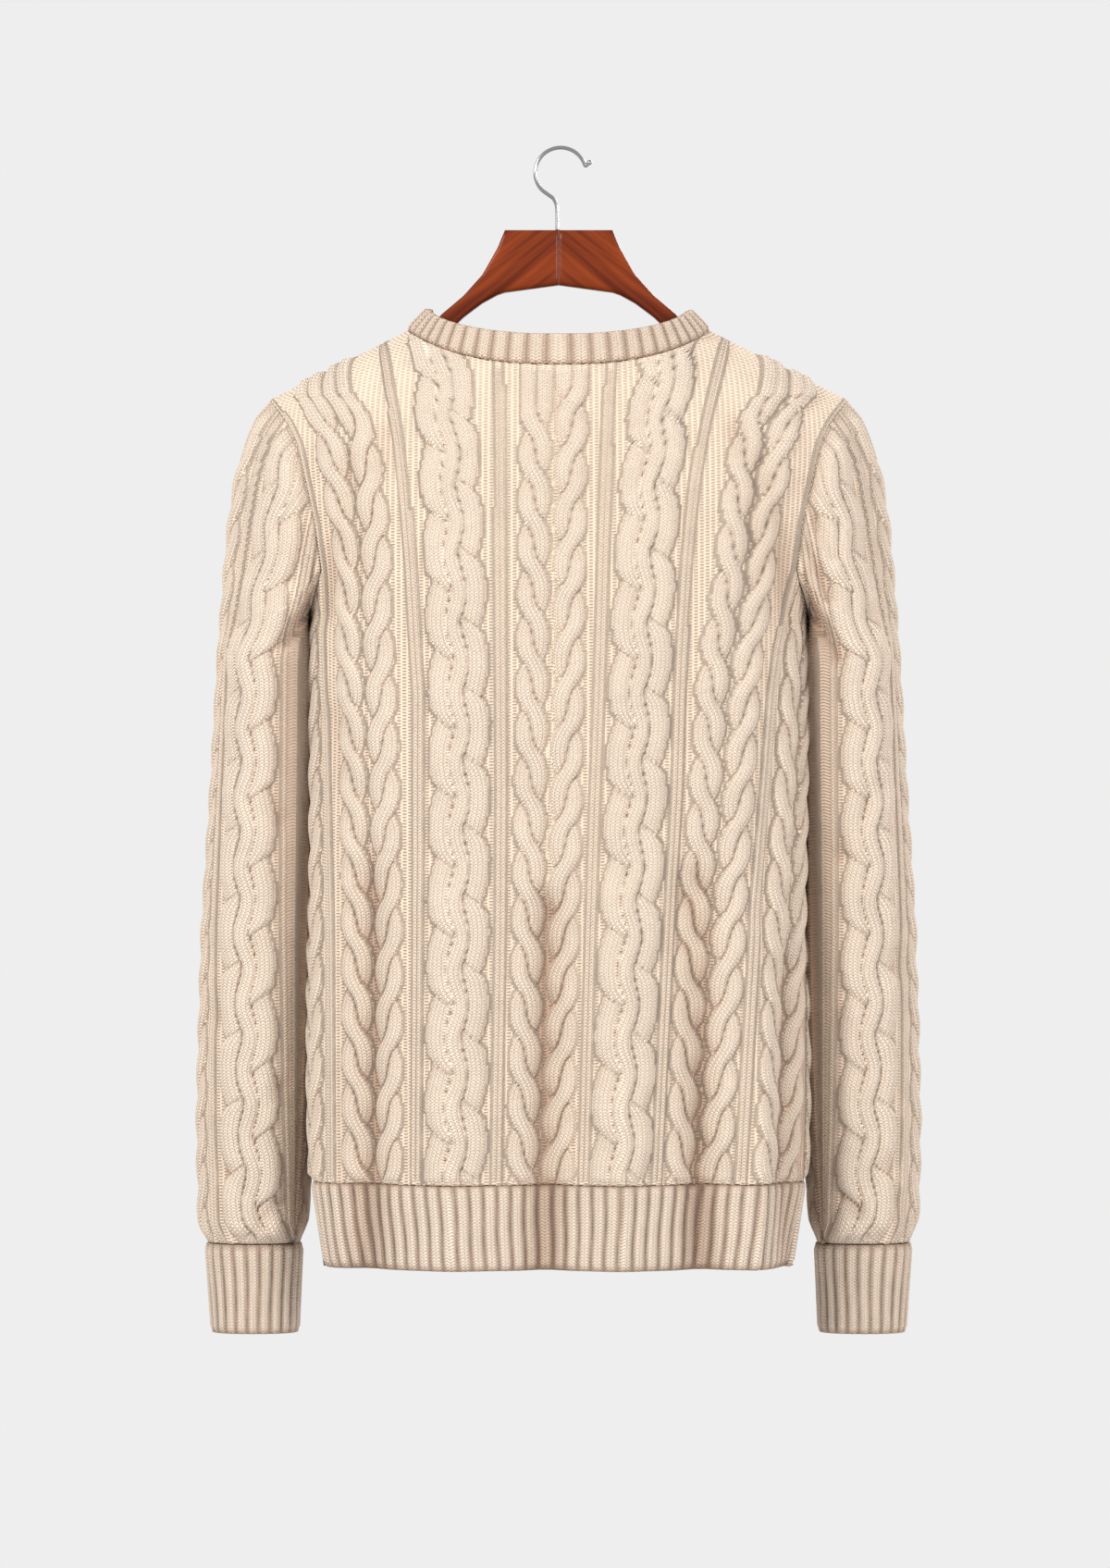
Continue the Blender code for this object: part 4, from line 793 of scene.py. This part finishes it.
def pattern_places(half):
    """Place of every point of half a sleeve for the pattern: its way round its level from the outer line.

    On the head a column's point at a level lies as far round as the points of all columns before it
    at that level say, so the cables keep their width and run beside the outline up to the seam.
    """
    place = np.repeat(OWN_PLACES, len(half), axis=0)
    head = half[:CAP_STEPS + 1]
    depth = np.maximum.accumulate(-head[..., 2], axis=0)
    level = np.linspace(depth[0, 0], depth[-1, 0], 4 * CAP_STEPS + 1)
    cut = np.array([[np.interp(level, down, column[:, axis]) for axis in range(3)]
                    for down, column in zip(depth.T, head.transpose(1, 0, 2))])
    steps = np.linalg.norm(np.diff(cut, axis=0), axis=1)
    way = np.concatenate([np.zeros((1, len(level))), np.cumsum(steps, axis=0)])
    round_it = np.array([np.interp(down, level, one) for down, one in zip(depth.T, way)]).T
    place[:CAP_STEPS + 1] = round_it * OWN_PLACES / np.maximum(round_it[-1:], 0.001 * MM)
    return place


def knit_sleeve(place, height):
    """The knitting of half a sleeve at places round it: two ropes, a plait and two ribs."""
    parts = [rope(place - PAIR_SPREAD, height - SLEEVE_CROSSINGS[0], 1.0, SLEEVE_OPEN_AT),
             rope(place - HALF_LENGTH + PAIR_SPREAD, height - SLEEVE_CROSSINGS[1], -1.0, SLEEVE_OPEN_AT),
             plait(PLAIT_PLACE - place, height - PLAIT_LEVEL)]
    return highest(parts + [rib(place - middle) for middle in SLEEVE_RIBS], place)


def ring_normals(points):
    """Unit normals of a closed ring grid from central differences, facing away from its middle."""
    around = np.roll(points, -1, axis=1) - np.roll(points, 1, axis=1)
    normal = np.cross(around, np.gradient(points, axis=0))
    return facing(normal, points - points.mean(axis=1, keepdims=True))


def build_sleeve(name, nodes, mirror, folds):
    """Back half and front half joined into a ring grid, with folds, cables and an inner wall."""
    back, front = half_sleeve(False), half_sleeve(True)
    seam, under = 0.5 * (back[:, :1] + front[:, :1]), 0.5 * (back[:, -1:] + front[:, -1:])
    points = np.concatenate([seam, back[:, 1:-1], under, front[:, -2:0:-1]], axis=1)
    halves = [knit_sleeve(pattern_places(half), half[..., 2]) for half in (back, front)]
    clear = np.interp(OWN_PLACES, FREE_PLACES, FREE_SHARES)
    rise, across, smooth, line, free = [np.concatenate([one, other[:, -2:0:-1]], axis=1)
                                        for one, other in (*zip(*halves), (clear, clear))]
    row = np.arange(len(points))[:, None]
    from_tip = held((row - 2) / 8.0)
    to_cuff = held((len(points) - 1 - row) / 5.0)
    fade = free * from_tip * to_cuff
    sunk = crease(points, folds) * from_tip * to_cuff
    # Painted shade: darker between the strands, along the lines where they cross and in the troughs of folds
    shade = (rise - LINE_PAINTED_SHADE * line) * np.maximum(fade, 0.6 * from_tip) - FOLD_PAINTED_SHADE * np.maximum(sunk, 0.0)
    # Painted shade where the sleeve faces the body
    shade = shade - HIDDEN_SHADE * (1.0 - free) * from_tip
    knit = np.stack([across, points[..., 2], smooth, shade], axis=-1)
    piece = cloth_mesh(name, points, ring_normals(points), rise * fade, sunk, knit, WOOL,
                       mirror=mirror, wrap=True)
    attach(piece, "root")
    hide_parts(*nodes)


build_sleeve("right_sleeve_knit", ("sleeve_right_upper", "sleeve_right_lower"), 1, RIGHT_FOLDS)
build_sleeve("left_sleeve_knit", ("sleeve_left_upper", "sleeve_left_lower"), -1, LEFT_FOLDS)

# ---------------------------------------------------------------- cuffs
# A tube of rib knitted on at the end of each sleeve, narrower than the sleeve, open at the wrist.
CUFF_RIBS, CUFF_RIB_RISE, CUFF_SPREAD = 24, 2.2 * MM, 0.6 * MM


def build_cuff(name, node, mirror):
    """The sleeve's rings carried on below its seam, with ribs out along the normal."""
    height = np.linspace(CUFF_TOP - 0.4 * MM, CUFF_BOTTOM, 28)
    x, y = [np.concatenate([back, front[:, -2::-1]], axis=1)
            for back, front in zip(half_rings(height, False), half_rings(height, True))]
    arcs = ring_arcs(x, y)
    share = np.arange(9 * CUFF_RIBS) / (9.0 * CUFF_RIBS)
    points = ring_points(x, y, height, share * arcs[:, -1:], arcs)
    points = points + CUFF_SPREAD * ring_normals(points)
    down = np.linspace(0.0, 1.0, len(height))[:, None]
    ends = np.clip(down / 0.06, 0.3, 1.0) * np.clip((1.0 - down) / 0.06, 0.4, 1.0)
    wave = rib_wave(CUFF_RIBS * share + 0.08 * np.sin(5.0 * down + 12.0 * share)) * ends
    # Painted shade: darker in the grooves of the ribs, lighter on their crests
    knit = rib_stitches(CUFF_RIBS * share, points[..., 2], (2.7 * wave - 0.9) * CUFF_RIB_RISE)
    rise = wave * CUFF_RIB_RISE
    piece = cloth_mesh(name, points, ring_normals(points), rise, 0.0 * rise, knit, RIB_KNIT,
                       mirror=mirror, wrap=True)
    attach(piece, "root")
    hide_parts(node)


build_cuff("right_cuff", "cuff_right", 1)
build_cuff("left_cuff", "cuff_left", -1)

# ---------------------------------------------------------------- neck band
# A strip of rib folded double and sewn round the neck, standing up from the seam and leaning in.
# It is thin at its foot, where it is sewn on, and round at its fold.
BAND_RIBS, BAND_RIB_RISE, BAND_STEPS = 52, 1.9 * MM, 18
BAND_THICK, FOOT_THICK, FOLD_FROM = 4.5 * MM, 1.4 * MM, 0.86
# How far it stands up and leans in, more at its sides and its front
BAND_HEIGHT, SIDE_LESS = 22.2 * MM, 7.0 * MM
BAND_LEAN, SIDE_LEAN, FRONT_LEAN = 4.0 * MM, 11.7 * MM, 6.0 * MM


def neck_edge(cloth):
    """The seam line on one half: its top row between the two sides of the neck."""
    row = cloth[-1, SIDE_COUNT:cloth.shape[1] - SIDE_COUNT]
    return row[np.abs(row[:, 0]) <= NECK_X + 0.3 * MM]


def build_neck_band():
    """Rings from the seam up: the ring leans in and rises, and its thickness rounds off at the top."""
    share = np.arange(9 * BAND_RIBS) / (9.0 * BAND_RIBS)
    turn = math.tau * share
    back = np.cos(turn) > 0.0
    x = NECK_X * np.sign(np.sin(turn)) * np.abs(np.sin(turn)) ** 0.9
    edges = [neck_edge(back_cloth), neck_edge(front_cloth)]
    y, z = [np.where(back, *[np.interp(x, edge[:, 0], edge[:, axis]) for edge in edges]) for axis in (1, 2)]
    y = np.where(np.abs(x) > 0.995 * NECK_X, 0.0, y)
    side = np.abs(np.sin(turn)) ** 3
    lift = np.linspace(0.0, 1.0, BAND_STEPS + 1)[:, None]
    lean = (BAND_LEAN + SIDE_LEAN * side + np.where(back, 0.0, FRONT_LEAN * (1.0 - side))) * lift
    inward = 1.0 - lean / np.hypot(x, y)
    points = np.stack([x * inward, y * inward, z + (BAND_HEIGHT - SIDE_LESS * side) * lift], axis=-1)
    soft = points
    for _ in range(3):
        soft = (np.roll(soft, 1, axis=1) + 2.0 * soft + np.roll(soft, -1, axis=1)) / 4.0
    top = np.sqrt(1.0 - held((lift - FOLD_FROM) / (1.0 - FOLD_FROM)) ** 2)
    thick = FOOT_THICK + (0.5 * BAND_THICK - FOOT_THICK) * held(4.0 * lift)
    thick = thick * (0.12 + 0.88 * top)
    foot = np.clip(lift / 0.1, 0.25, 1.0)
    wave = rib_wave(BAND_RIBS * share) * (0.15 + 0.85 * top) * foot
    # Painted shade: darker in the grooves of the ribs, lighter on their crests
    knit = rib_stitches(BAND_RIBS * share, points[..., 2], (2.6 * wave - 0.9) * BAND_RIB_RISE)
    rise = thick + wave * BAND_RIB_RISE
    piece = cloth_mesh("neck_rib", soft, ring_normals(soft), rise, 0.0 * rise, knit, RIB_KNIT,
                       wall=thick, wrap=True)
    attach(piece, "root")
    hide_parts("neck_band")


build_neck_band()

# ---------------------------------------------------------------- hanger
# Two arms of hard wood, glued at the middle with the grain mirrored, sanded to rounded edges and
# varnished red-brown. A bent steel wire hook with a small ball at its tip stands in the top.
WOOD_THICK, ARM_END, TIP_LENGTH, SQUARE_POWER = 14.0 * MM, 196.0, 6.0, 7
GRAIN_SLOPE = math.radians(-38.0)
WOOD = {
    "x": (0.2, 39.6, 44.9, 56, 70, 85.7, 100, 115, 130, 160, 185, 196),
    "upper": (-62.3, -62.3, -75.2, -94.9, -110.6, -123.8, -138.5, -148, -152, -165.9, -178.4, -184.1),
    "lower": (-102.8, -108.2, -110, -116, -126.5, -142, -157, -169, -177, -192, -204, -208),
}


def wood_material():
    """Satin varnish over mirrored grain: long bands of light and dark, and fine pores."""
    material = new_material("varnished_wood", {"Specular IOR Level": 0.1, "Coat Weight": 0.1,
                                               "Coat Roughness": 0.12})
    tree = material.node_tree
    grain = add_node(tree, "Attribute", {}, attribute_name="grain").outputs["Vector"]
    stretched = add_node(tree, "Mapping", {"Vector": grain, "Scale": (6.0, 75.0, 40.0)}).outputs["Vector"]
    bands, pores = [add_node(tree, "TexNoise", {"Vector": stretched, **sizes}).outputs["Fac"] for sizes in (
        {"Scale": 1.6, "Detail": 4.0, "Distortion": 0.6}, {"Scale": 9.0, "Detail": 2.0})]
    ramp = add_node(tree, "ValToRGB", {"Fac": bands})
    dark, light = ramp.color_ramp.elements
    dark.position, dark.color = 0.32, (0.07, 0.009, 0.002, 1.0)
    light.position, light.color = 0.68, (0.215, 0.036, 0.006, 1.0)
    rough = carry_over(tree, pores, 0.0, 1.0, 0.3, 0.45)
    bump = add_node(tree, "Bump", {"Strength": 0.15, "Distance": 0.0002, "Height": pores}).outputs["Normal"]
    feed(tree, tree.nodes["Principled BSDF"],
         {"Base Color": ramp.outputs["Color"], "Roughness": rough, "Normal": bump})
    return material


VARNISH = wood_material()


def grid_piece(name, points, material, attribute=None):
    """A mesh from a grid of closed rings, with one flat face over each end, smooth round the sides."""
    rows, columns = points.shape[:2]
    a = np.arange(rows * columns).reshape(rows, columns)
    b = np.roll(a, -1, axis=1)
    sides = np.stack([a[:-1], b[:-1], b[1:], a[1:]], axis=-1).reshape(-1, 4).tolist()
    mesh = bpy.data.meshes.new(name)
    mesh.from_pydata(points.reshape(-1, 3).tolist(), [], sides + [a[0, ::-1].tolist(), a[-1].tolist()])
    start = points[:-1]
    outward = np.cross(np.roll(start, -1, axis=1) - start, points[1:] - start)
    if np.sum(outward * (start - start.mean(axis=1, keepdims=True))) < 0.0:
        mesh.flip_normals()
    mesh.polygons.foreach_set("use_smooth", np.arange(len(sides) + 2) < len(sides))
    if attribute is not None:
        layer = mesh.attributes.new(attribute[0], "FLOAT_VECTOR", "POINT")
        layer.data.foreach_set("vector", attribute[1].astype(np.float32).ravel())
    mesh.materials.append(material)
    return add_object(name, mesh)


def build_arm(name, node, mirror):
    """Half of the wood: rounded rectangles between its upper and lower edge, at places along x."""
    tip = ARM_END - TIP_LENGTH * (1.0 - np.sin(np.linspace(0.0, 0.5 * math.pi, 10)))
    spans = ((0.03, 38.0, 14), (38.0, 46.0, 18), (46.0, ARM_END - TIP_LENGTH, 84))
    x = np.unique(np.concatenate([*[np.linspace(*span) for span in spans], tip]))
    upper, lower = np.interp(x, WOOD["x"], WOOD["upper"]), np.interp(x, WOOD["x"], WOOD["lower"])
    around = np.linspace(0.0, math.tau, 56, endpoint=False)
    past = held((x - ARM_END + TIP_LENGTH) / (TIP_LENGTH + 0.2))
    end = 0.35 + 0.65 * np.sqrt(np.clip(1.0 - past ** 2, 0.02, 1.0))[:, None]
    ring = end * reach(around, SQUARE_POWER)
    middle, half = 0.5 * (upper + lower)[:, None], 0.5 * (upper - lower)[:, None]
    z = middle + half * ring * np.sin(around)
    y = 0.5 * WOOD_THICK / MM * ring * np.cos(around)
    points = np.stack([x[:, None] + 0.0 * z, y, z], axis=-1) * MM
    sine, cosine = math.sin(GRAIN_SLOPE), math.cos(GRAIN_SLOPE)
    along = points[..., 0] * cosine + points[..., 2] * sine
    across = points[..., 2] * cosine - points[..., 0] * sine
    grain = np.stack([along, across, points[..., 1]], axis=-1)
    points = points * np.array([mirror, 1.0, 1.0])
    piece = grid_piece(name, points, VARNISH, ("grain", grain))
    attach(piece, "root")
    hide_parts(node)


build_arm("right_arm", "hanger_wood_right", 1.0)
build_arm("left_arm", "hanger_wood_left", -1.0)

HOOK_RADIUS, HOOK_SIDE, HOOK_WIRE, BALL_RADIUS = 18.7 * MM, 1.4 * MM, 1.4 * MM, 1.9 * MM
# The wire's foot in the wood, its end beyond the arc, and the middle of the ball: x and z (mm)
HOOK_STEM = ((-1, -62.4), (-1, -58), (-1, -52), (-1.1, -47.5), (-1.5, -43.5), (-3.6, -39))
HOOK_END, BALL_MIDDLE = (22, -13), (22.6, -12.4)
STEEL = new_material("steel", {"Base Color": (0.3, 0.3, 0.31, 1.0), "Metallic": 1.0, "Roughness": 0.22})


def build_hook():
    """A round wire carried along its bent line, and a ball at the tip."""
    turn = np.radians(np.linspace(222.0, 14.0, 60))
    circle = HOOK_RADIUS * np.stack([np.cos(turn), np.sin(turn) - 1.0], axis=-1) + (HOOK_SIDE, -HOOK_WIRE)
    line = np.concatenate([np.array(HOOK_STEM) * MM, circle, np.array([HOOK_END]) * MM])
    length = np.concatenate([[0.0], np.cumsum(np.hypot(*np.diff(line, axis=0).T))])
    even = np.linspace(0.0, length[-1], 140)
    x, z = np.interp(even, length, line[:, 0]), np.interp(even, length, line[:, 1])
    for _ in range(4):
        x[1:-1], z[1:-1] = (x[:-2] + 2 * x[1:-1] + x[2:]) / 4, (z[:-2] + 2 * z[1:-1] + z[2:]) / 4
    slope = np.stack([np.gradient(x), np.gradient(z)], axis=-1)
    slope = slope / np.linalg.norm(slope, axis=-1, keepdims=True)
    around = np.linspace(0.0, math.tau, 20, endpoint=False)
    out, level = HOOK_WIRE * np.cos(around), HOOK_WIRE * np.sin(around)
    wire = [x[:, None] - slope[:, 1:] * out, level, z[:, None] + slope[:, :1] * out]
    hook = grid_piece("hook_wire", np.stack(np.broadcast_arrays(*wire), axis=-1), STEEL)
    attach(hook, "root")
    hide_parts("hanger_hook")
    down = np.linspace(0.02, math.pi - 0.02, 17)[:, None]
    ball = np.broadcast_arrays(np.sin(down) * np.cos(around), np.sin(down) * np.sin(around), np.cos(down))
    ball = BALL_RADIUS * np.stack(ball, axis=-1) + np.array([BALL_MIDDLE[0], 0.0, BALL_MIDDLE[1]]) * MM
    tip = grid_piece("hook_ball", ball, STEEL)
    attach(tip, "root")


build_hook()

# ---------------------------------------------------------------- camera, light and floor
# A pale floor under the sweater, a large soft light from the upper left of the back, a weaker one
# from its right and one for the front, and a level long lens at the height of the chest.
FLOOR_LEVEL, CHEST = -1.16, (0.0, 0.0, -0.45)
ground = bpy.data.meshes.new("floor")
ground.from_pydata([(x, y, FLOOR_LEVEL) for x, y in ((-1.6, -1.4), (1.6, -1.4), (1.6, 1.0), (-1.6, 1.0))],
                   [], [(0, 1, 2, 3)])
floor = add_object("floor", ground)
ground.materials.append(new_material("pale_floor", {"Base Color": (0.6, 0.6, 0.6, 1.0), "Roughness": 0.9}))

world = bpy.data.worlds.new("studio")
bpy.context.scene.world = world
world.use_nodes = True
sky = world.node_tree
seen = sky.nodes["Background"]
feed(sky, seen, {"Color": (0.855, 0.855, 0.855, 1.0)})
shed = add_node(sky, "Background", {"Color": (1.0, 0.965, 0.935, 1.0), "Strength": 0.88})
ray = add_node(sky, "LightPath", {}).outputs["Is Camera Ray"]
choice = add_node(sky, "MixShader", {0: ray, 1: shed.outputs[0], 2: seen.outputs[0]})
feed(sky, sky.nodes["World Output"], {"Surface": choice.outputs[0]})


def soft_light(name, place, size, power, colour):
    """A square area light of a size in metres, pointed at the chest."""
    data = bpy.data.lights.new(name, "AREA")
    data.size, data.energy, data.color = size, power, colour
    lamp = add_object(name, data)
    lamp.location = place
    x, y, z = np.array(place) - CHEST
    lamp.rotation_euler = (math.atan2(math.hypot(x, y), z), 0.0, math.atan2(y, x) + 0.5 * math.pi)


soft_light("key", (-2.0, -2.1, 0.8), 0.9, 86.0, (1.0, 0.965, 0.925))
soft_light("fill", (2.3, -2.4, 0.2), 1.3, 68.0, (1.0, 0.955, 0.92))
soft_light("front", (1.6, 2.7, 0.7), 1.3, 60.0, (1.0, 0.965, 0.93))

# The height of what it sees at the sweater, its own place, and the height of its sensor (mm)
VIEW_HEIGHT, CAMERA_PLACE, SENSOR = 1152.6 * MM, (-2.72 * MM, -6.0, -469.268 * MM), 24.0
lens = bpy.data.cameras.new("camera")
lens.sensor_fit, lens.sensor_height = "VERTICAL", SENSOR
lens.lens = SENSOR * -CAMERA_PLACE[1] / VIEW_HEIGHT
camera = add_object("camera", lens)
camera.location = CAMERA_PLACE
camera.rotation_euler = (0.5 * math.pi, 0.0, 0.0)
bpy.context.scene.camera = camera

bpy.context.scene.view_settings.view_transform = "Standard"
